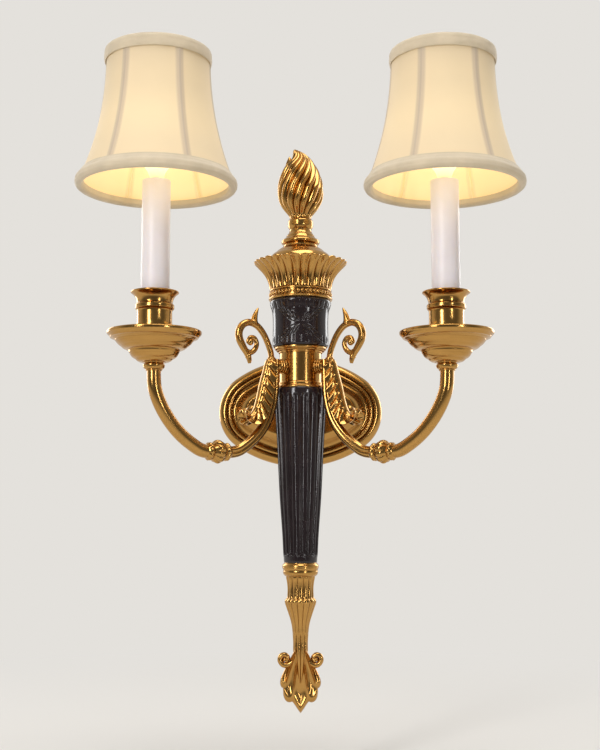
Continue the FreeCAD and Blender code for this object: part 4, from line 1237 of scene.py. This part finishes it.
def acanthus():
    """Acanthus leaf folded round the arm's root: a smooth midrib, slanted lobes, a curled tip."""
    def shape(turn, run):
        # once round the section: the outside from edge to edge, then the inside back
        turn %= SECTION_END
        skin = 1 if turn <= 0.5 else -1
        side = 4 * turn - 1 if skin == 1 else 3 - 4 * turn
        reach = abs(side)
        half, fold = level(LEAF_WIDTH, run)
        shifted = min(1.0, run + 0.13 * reach**1.3 * math.sin(math.pi * run))
        place, way = through(LEAF_RIB, shifted)
        out = Vector((-way.z, 0, way.x))
        # the lobes die away towards the curled tip
        before_tip = min(1.0, (1 - run) / LEAF_TIP)
        cut = 1 - (1 - abs(math.sin(math.pi * LEAF_LOBES * run))) * before_tip
        lobe = cut**0.6
        edge = 0.80 + 0.20 * lobe
        flank = max(0.0, min(1.0, (reach - 0.34) / 0.2))
        flank = flank * flank * (3 - 2 * flank)
        # each lobe swells between deep valleys, with a fine vein along its middle
        swell = flank * (1.5 * (lobe - 0.62) + 0.25 * math.exp(-(((1 - cut) / 0.05) ** 2)))
        midrib = 0.8 * math.exp(-((side / 0.3) ** 6))
        bend = LEAF_BEND * side
        inset = -(swell + midrib) if skin == 1 else LEAF_SHEET - 0.35 * swell
        flare = 1.3 * reach**6 * lobe * math.copysign(before_tip, side)
        across = Vector((0, (half * edge - inset) * math.sin(bend) + flare, 0))
        return place + across - out * ((fold * edge - inset) * (1 - math.cos(bend)) + inset)

    return wrapped(152, 168, shape)


class OBJECT_OT_sconce_leaves(bpy.types.Operator):
    """Builds the acanthus leaf at the root of each arm"""
    bl_idname = "object.sconce_leaves"
    bl_label = "Acanthus leaves"

    def execute(self, context):
        both_sides(acanthus, "leaf", "acanthus_leaf", arm_place, "gilt_brass", [gilt_brass()])
        return {"FINISHED"}


CROOK = (
    (35.2, 43), (36.6, 51.5), (40, 60), (44.9, 68.6), (51.3, 75.4), (58, 78.6), (64.4, 78.8),
    (70.4, 75.5), (74, 69), (73.5, 62), (69.6, 54.9), (65.2, 48.9), (62.4, 43.6), (61.6, 38.6),
)
CURL = (
    (66.4, 50.6), (60.8, 49.4), (55.8, 52.6), (53.4, 58.6), (56, 63.8), (60.8, 64.2), (63.4, 60.4),
    (61.6, 58.4),
)
# share of the crook's length and its half thickness
CROOK_SIZES = ((0, 2.9), (0.25, 3.1), (0.5, 3.6), (0.7, 3.7), (0.88, 2.9), (0.95, 2.4), (1, 1.5))


def scroll():
    """Scroll with a channelled crook, an inner curl that ends in a ball, and a leafy spur."""
    def channelled(turn):
        angle = 2 * math.pi * turn
        groove = 0.14 * math.exp(-((math.cos(angle) / 0.3) ** 2))
        return math.cos(angle), math.sin(angle) * (1.02 - groove)

    crook = bar(
        CROOK, lambda run: table(CROOK_SIZES, run), around=40, lengthwise=150,
        section=channelled, line=through)
    curl = bar(CURL, lambda run: 2.9 - 0.9 * run, around=32, lengthwise=80, line=through)
    spur = bar(
        ((56.8, 78.0), (56.3, 83.0), (54.6, 88.6), (51.6, 94.8)),
        lambda run: 0.2 + 4.0 * (1 - run) ** 0.6, lengthwise=36, line=through)
    knob = ball(3.7, (57.0, 0, 79.8), (1.2, 1.15, 0.85))
    end = ball(3.3, (60.9, 0, 59.6))
    tail = ball(2.9, (63.2, 0, 45.4), (1.05, 1.2, 1.05))
    foot = turned(
        [(0.01, 44), (3.9, 44), (4.2, 45.2, 0.3), (3.6, 46.4, 0.2), (0.01, 46.6)], steps=32)
    foot.transform(Matrix.Translation((35.6, 0, 0)))
    return joined(crook, curl, spur, knob, end, tail, foot)


class OBJECT_OT_sconce_scrolls(bpy.types.Operator):
    """Builds the scroll that stands on the root of each arm"""
    bl_idname = "object.sconce_scrolls"
    bl_label = "Scrolls"

    def execute(self, context):
        both_sides(scroll, "scroll", "scroll_handle", arm_place, "gilt_brass", [gilt_brass()])
        return {"FINISHED"}


# ---- candles
def tube_collar():
    """Turned collar under the pan."""
    return turned([
        (6.55, 23.4), (7.3, 23.4), (7.7, 23.9, 0.1), (7.5, 24.6, 0.1), (8.4, 25.2, 0.1),
        (9.9, 27.4, 0.4), (9.4, 29.8, 0.5), (8.6, 30.4), (9, 31, 0.05), (5, 31), (5, 29),
        (6.55, 29),
    ], steps=72)


def pan():
    """Spun drip pan: a small bowl under a wide one, with a rolled lip."""
    return turned([
        (5, 31), (10.4, 31), (11.2, 31.4, 0.2), (17.4, 34.4, 0.9), (22.6, 39.4, 0.8),
        (23.6, 41.6, 0.2), (24, 42.4), (24.8, 42.9, -0.1), (31, 46.2, 0.7), (35.6, 50.6, 0.4),
        (36.4, 51.8, 0.1), (37.6, 52.5, -0.1), (40.8, 54, -0.3), (43, 56.8, -0.2),
        (43.9, 58.8, 0.3), (43.3, 60.5, 0.4), (42, 60.6, 0.2), (41.2, 59.6), (38.6, 56.2, 0.3),
        (35, 53.4), (29, 48.4, -0.7), (23.2, 44.4, -0.4), (22, 43.2), (17, 37.4, -0.8),
        (9.8, 32.8, -0.9), (5, 32.8),
    ])


def cup():
    """Turned candle cup: waisted stem, flange, hollow body, bead and flared rim."""
    return turned([
        (5, 32.8), (9.2, 32.8), (9.6, 33.6, 0.2), (9, 34.8, 0.2), (8.6, 43, -0.3), (9.6, 50, -0.3),
        (13.2, 56, -0.4), (16, 58.4, -0.2), (19, 59.4, -0.1), (20, 60.4, 0.2), (19.6, 61.6, 0.3),
        (18.2, 62.4), (16.9, 66, -0.3), (16.3, 71, -0.2), (16.3, 78), (16.8, 80, -0.1),
        (17.3, 80.6), (18.1, 83.2, 0.5), (17.3, 85.8, 0.5), (16.7, 86.6), (17.2, 89.6, -0.1),
        (18.8, 93, -0.2), (21.4, 95.6, -0.2), (22.1, 96.2), (22.3, 97, 0.2), (21.6, 97.8, 0.2),
        (20.4, 97.6, 0.1), (17.4, 93.6, 0.3), (15, 89.8, 0.1), (13.4, 88.4), (13.4, 62), (5, 62),
    ])


def sleeve():
    """Moulded candle sleeve with a softened rim."""
    return turned([
        (12.25, 62), (13.35, 62), (13.35, 203.2), (13.1, 203.7, 0.08), (12.5, 203.7, 0.02),
        (12.25, 203.4, 0.05),
    ], steps=96)


def bulb():
    """Candle bulb's glass."""
    return turned([
        (5.4, 206), (6.2, 206), (7.4, 209.6, -0.2), (10.2, 215, -0.3), (14.6, 223, 0.3),
        (17.5, 236, 0.8), (16.2, 248, 0.4), (12.4, 260, 0.3), (8, 268, 0.1), (4.4, 275, -0.3),
        (1.8, 280.6, -0.2), (0.9, 282.7, 0.1), (0.01, 283, 0.05),
    ], steps=48, closed=False)


class OBJECT_OT_sconce_candles(bpy.types.Operator):
    """Builds the drip pans, cups, sleeves and bulbs"""
    bl_idname = "object.sconce_candles"
    bl_label = "Pans and candles"

    def execute(self, context):
        gilt = candle_place, "gilt_brass", [gilt_brass()]
        both_sides(tube_collar, "collar", "arm_collar", *gilt)
        both_sides(pan, "pan", "drip_pan", *gilt)
        both_sides(cup, "cup", "candle_cup", *gilt)
        white = [sleeve_plastic()]
        both_sides(sleeve, "sleeve", "candle_sleeve", candle_place, "white_sleeve", white)
        both_sides(bulb, "glass", "bulb_glass", candle_place, "bulb_glass", [lit_glass()], "bulb")
        return {"FINISHED"}


# ---- shades
SHADE_TOP_RADIUS = 49.6
SHADE_FLARE = 334.0
SHADE_STRAIGHT = 325.0
CLOTH_TOP = 328.2
CLOTH_BOTTOM = 199.4
CLOTH_SAG = 1.5              # how far the cloth is drawn in between two ribs


def bell_radius(z):
    """Outside radius of the cloth at a height."""
    below = max(0.0, SHADE_STRAIGHT - z)
    return SHADE_TOP_RADIUS + SHADE_FLARE - math.sqrt(SHADE_FLARE**2 - below**2)


def seam_angle():
    """Angle of a seam about the candle's axis, from the arm's direction."""
    return math.radians(-90) + sizes().seam_turn


def cover():
    """Cloth panels stretched from ring to ring, drawn in between the ribs, with raised seams."""
    panels = sizes().shade_panels
    first = seam_angle()

    def shape(turn, run):
        angle = first + 2 * math.pi * turn
        z = CLOTH_BOTTOM + (CLOTH_TOP - CLOTH_BOTTOM) * run
        across = abs(((turn * panels + 0.5) % 1) - 0.5) * 2
        waist = math.sin(math.pi * run) ** 0.8
        gap = across / panels * math.pi * bell_radius(z)
        sag = CLOTH_SAG * waist * (1 - (1 - min(1.0, across)) ** 2)
        ridge = 0.45 * math.exp(-((gap / 1.1) ** 2)) + 0.25 * math.exp(-((gap / 3.6) ** 6))
        return polar(bell_radius(z) - 0.55 - sag + ridge, angle, z)

    bm = wrapped(panels * 28, 40, shape, caps=False)
    layer = bm.verts.layers.float.new("seam_gap")
    for vert in bm.verts:
        turn = (math.atan2(vert.co.y, vert.co.x) - first) / (2 * math.pi)
        across = abs(((turn * panels + 0.5) % 1) - 0.5) * 2
        vert[layer] = across / panels * math.pi * vert.co.xy.length
    return bm


def rolled_trim(corners, pucker):
    """Binding rolled round a ring, slightly puckered where it is pulled tight."""
    points = outline(corners + [corners[0]])[:-1]

    def shape(turn, run):
        at = run * len(points)
        step = int(at) % len(points)
        point = points[step].lerp(points[(step + 1) % len(points)], at - int(at))
        angle = 2 * math.pi * turn
        wave = noise.noise(Vector((math.cos(angle) * 9, math.sin(angle) * 9, point.z * 0.25)))
        return polar(point.x + pucker * wave, angle, point.z)

    return wrapped(192, len(points), shape, caps=False)


def bottom_trim():
    """Binding of the bottom ring, folded up the outside of the cloth."""
    meet = bell_radius(210.2)
    edge = bell_radius(199.2)
    return rolled_trim([
        (68.4, 203.2), (68.3, 200), (69.4, 197, 0.5), (72.2, 195.9, 0.5), (75, 197.2, 0.6),
        (76, 200.4, 0.5),
        (75, 204.2, 0.4), (72.4, 207.4, -0.2), (meet + 0.7, 210, -0.2), (meet + 0.1, 210.2),
        (edge + 0.1, 199.2),
        (69, 198.9), (68.9, 203.2),
    ], 0.35)


def top_trim():
    """Binding of the top ring, folded down the outside of the cloth."""
    lower = bell_radius(317.4)
    return rolled_trim([
        (lower + 0.05, 317.4), (lower + 0.6, 317.5), (50.9, 320, 0.1), (50.9, 325, 0.15),
        (50.6, 328, 0.2),
        (49.4, 329.5, 0.3), (47.6, 330, 0.3), (45.8, 329.2, 0.4), (45.2, 327.4, 0.3), (45.2, 324.8),
        (45.6, 324.7), (45.7, 327), (46.6, 328.6, -0.2), (49.66, 328.6), (49.66, 320),
    ], 0.3)


class OBJECT_OT_sconce_shades(bpy.types.Operator):
    """Builds both clip-on shades: the stretched cloth covers and their rolled trims"""
    bl_idname = "object.sconce_shades"
    bl_label = "Shades"

    def execute(self, context):
        c = colours()
        outside = shade_cloth("cream cloth lit from inside", c.cloth, c.glow, 0.25, 1.0)
        inside = shade_cloth("cream lining by the lamp", c.lining, srgb("#FFF0B4"), 0.5, 0.25)
        covers = both_sides(
            cover, "cover", "shade_cover", candle_place, "shade_cloth", [outside, inside], "shade")
        trim = candle_place, "trim_cloth", [trim_cloth()], "shade"
        both_sides(bottom_trim, "bottom_binding", "shade_bottom_trim", *trim)
        both_sides(top_trim, "top_binding", "shade_top_trim", *trim)
        for piece in covers:
            lining = piece.modifiers.new("lining", "SOLIDIFY")
            lining.thickness = 0.6 * MM
            lining.offset = -1
            lining.material_offset = 1
            lining.material_offset_rim = 0
        return {"FINISHED"}


# ---- carried-over pieces
class OBJECT_OT_sconce_hardware(bpy.types.Operator):
    """Gives the hidden and small carried-over pieces their finishes"""
    bl_idname = "object.sconce_hardware"
    bl_label = "Hardware finishes"

    def execute(self, context):
        finishes = {
            zinc_steel: (
                "mounting_crossbar", "crossbar_studs", "neck_locknut", "tie_rod", "cup_nipple"),
            gilt_brass: ("wall_neck",),
            phenolic: ("lampholder",),
            cap_aluminium: ("bulb_cap",),
            plated_wire: ("shade_clip", "shade_spider"),
            wrapped_wire: ("shade_frame",),
        }
        for name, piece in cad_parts.items():
            stem = name.removesuffix("_right").removesuffix("_left")
            for finish, stems in finishes.items():
                if stem in stems:
                    piece.data.materials.clear()
                    piece.data.materials.append(finish())
        return {"FINISHED"}


# ---- stage
CAMERA_PLACE = (-0.0005, -1.275, -0.1126)
CAMERA_TILT = math.atan(0.12)
FLOOR_DROP = 0.06            # floor below the palmette's tip
FLOOR_RADIUS = 14
LAMPLIGHT_HEIGHT = 228.0     # millimetres, about the middle of the bulb
LAMPLIGHT_POWER = 0.45
# name, place, aim, width, height, power
SOFTBOXES = (
    ("key", (-1.05, -1.75, 0.75), (0, 0, 0.0), 0.4, 1.5, 21),
    ("strip", (0.95, -1.65, -0.35), (0, 0, -0.1), 0.12, 1.3, 8),
    ("top", (0.2, -0.5, 1.7), (0, -0.1, 0.1), 1.3, 1.0, 18),
    ("back_left", (-1.3, 1.3, 0.5), (0, 0, 0.1), 0.7, 1.2, 11),
    ("back_right", (1.3, 1.3, 0.5), (0, 0, 0.1), 0.7, 1.2, 11),
)


def stage_world(world):
    """Pale for the camera and in reflections, darker behind the camera, and dim as a light."""
    world.use_nodes = True
    tree = world.node_tree
    tree.nodes.clear()
    c = rgba(colours().stage)
    path = node(tree, "ShaderNodeLightPath")
    way = node(tree, "ShaderNodeTexCoord").outputs["Generated"]
    toward = node(tree, "ShaderNodeSeparateXYZ", {0: way})
    # reflections darken behind the camera, where the studio is unlit
    dark = eased(tree, toward.outputs[1], 0.35, -0.45, 0.85, 0.2)
    ambient, mirror, seen = [
        node(tree, "ShaderNodeBackground", {"Color": c, "Strength": strength}).outputs[0]
        for strength in (0.42, dark, 1.0)
    ]
    shine = maths(
        tree, "MAXIMUM", path.outputs["Is Glossy Ray"], path.outputs["Is Transmission Ray"])
    first = node(tree, "ShaderNodeMixShader", {0: shine, 1: ambient, 2: mirror})
    last = node(tree, "ShaderNodeMixShader", {
        0: path.outputs["Is Camera Ray"], 1: first.outputs[0], 2: seen})
    node(tree, "ShaderNodeOutputWorld", {0: last.outputs[0]})


def pale_floor():
    """Matt pale floor, lit near the object and joined to the background further off."""
    material, tree, shader = new_material("pale matt floor")
    c = rgba(colours().stage)
    plug(tree, shader, {"Base Color": c, "Roughness": 0.9})
    path = node(tree, "ShaderNodeLightPath")
    seen = maths(tree, "MAXIMUM", path.outputs["Is Camera Ray"], path.outputs["Is Glossy Ray"])
    seen = maths(tree, "MAXIMUM", seen, path.outputs["Is Transmission Ray"])
    place = object_place(tree)
    distance = node(
        tree, "ShaderNodeVectorMath", {0: place}, operation="LENGTH").outputs["Value"]
    share = maths(tree, "MULTIPLY", seen, eased(tree, distance, 0.35, 1.1, 0.0, 1.0))
    # reflections darken behind the camera, where the studio is unlit
    forward = node(tree, "ShaderNodeSeparateXYZ", {0: place}).outputs[1]
    dark = eased(tree, forward, -0.2, -1.3, 0.0, 0.85)
    loss = maths(tree, "MULTIPLY", dark, path.outputs["Is Glossy Ray"])
    glow = node(
        tree, "ShaderNodeEmission", {"Color": c, "Strength": maths(tree, "SUBTRACT", 1.0, loss)})
    mixed = node(
        tree, "ShaderNodeMixShader", {0: share, 1: shader.outputs[0], 2: glow.outputs[0]})
    plug(tree, tree.nodes["Material Output"], {"Surface": mixed.outputs[0]})
    return material


def softbox(name, place, aim, width, height, power):
    """A rectangular studio light."""
    light = bpy.data.lights.new(name, "AREA")
    light.shape = "RECTANGLE"
    light.size = width
    light.size_y = height
    light.energy = power
    lamp = bpy.data.objects.new(name, light)
    lamp.location = place
    lamp.rotation_euler = (Vector(aim) - Vector(place)).to_track_quat("-Z", "Y").to_euler()
    bpy.context.scene.collection.objects.link(lamp)


def bulb_light(side):
    """The lamplight inside a shade."""
    light = bpy.data.lights.new("lamplight_" + side, "POINT")
    light.energy = LAMPLIGHT_POWER
    light.color = srgb("#FFD9A0")
    light.shadow_soft_size = 0.012
    lamp = bpy.data.objects.new("lamplight_" + side, light)
    lamp.location = (candle_place(side) @ Vector((0, 0, LAMPLIGHT_HEIGHT))) * MM
    bpy.context.scene.collection.objects.link(lamp)


class OBJECT_OT_sconce_stage(bpy.types.Operator):
    """Builds the pale floor, the soft studio light and the camera"""
    bl_idname = "object.sconce_stage"
    bl_label = "Stage"

    def execute(self, context):
        scene = context.scene
        scene.view_settings.view_transform = "Standard"
        scene.world = scene.world or bpy.data.worlds.new("studio")
        stage_world(scene.world)

        bm = bmesh.new()
        bmesh.ops.create_circle(bm, cap_ends=True, segments=96, radius=FLOOR_RADIUS)
        bm.transform(Matrix.Translation((0, 0, CAD_BOX[0].z - FLOOR_DROP)))
        mesh = bpy.data.meshes.new("floor")
        bm.to_mesh(mesh)
        bm.free()
        mesh.materials.append(pale_floor())
        floor = bpy.data.objects.new("floor", mesh)
        scene.collection.objects.link(floor)

        for row in SOFTBOXES:
            softbox(*row)
        for side in SIDES:
            bulb_light(side)

        data = bpy.data.cameras.new("camera")
        data.sensor_width = SENSOR
        data.lens = PHOTO_FOCAL * SENSOR / PHOTO_HEIGHT
        camera = bpy.data.objects.new("camera", data)
        camera.location = CAMERA_PLACE
        camera.rotation_euler = (math.radians(90) + CAMERA_TILT, 0, 0)
        scene.collection.objects.link(camera)
        scene.camera = camera
        return {"FINISHED"}


# ---- panel and registration
OPERATORS = (
    OBJECT_OT_sconce_stage, OBJECT_OT_sconce_plate, OBJECT_OT_sconce_turnings,
    OBJECT_OT_sconce_finial, OBJECT_OT_sconce_black_pieces, OBJECT_OT_sconce_drop,
    OBJECT_OT_sconce_arms, OBJECT_OT_sconce_leaves, OBJECT_OT_sconce_scrolls,
    OBJECT_OT_sconce_candles, OBJECT_OT_sconce_shades, OBJECT_OT_sconce_hardware,
)


class VIEW3D_PT_sconce(bpy.types.Panel):
    """Lists the sconce's building steps"""
    bl_label = "Wall sconce"
    bl_idname = "VIEW3D_PT_sconce"
    bl_space_type = "VIEW_3D"
    bl_region_type = "UI"
    bl_category = "Sconce"

    def draw(self, context):
        for operator in OPERATORS:
            self.layout.operator(operator.bl_idname)
        for group in (context.scene.sconce_sizes, context.scene.sconce_colours):
            for name in group.__annotations__:
                self.layout.prop(group, name)


CLASSES = (SconceSizes, SconceColours, *OPERATORS, VIEW3D_PT_sconce)


def register():
    for cls in CLASSES:
        bpy.utils.register_class(cls)
    bpy.types.Scene.sconce_sizes = PointerProperty(type=SconceSizes)
    bpy.types.Scene.sconce_colours = PointerProperty(type=SconceColours)


def unregister():
    del bpy.types.Scene.sconce_colours
    del bpy.types.Scene.sconce_sizes
    for cls in reversed(CLASSES):
        bpy.utils.unregister_class(cls)


def main():
    register()
    for operator in OPERATORS:
        group, name = operator.bl_idname.split(".")
        getattr(getattr(bpy.ops, group), name)()


if __name__ == "__main__":
    main()
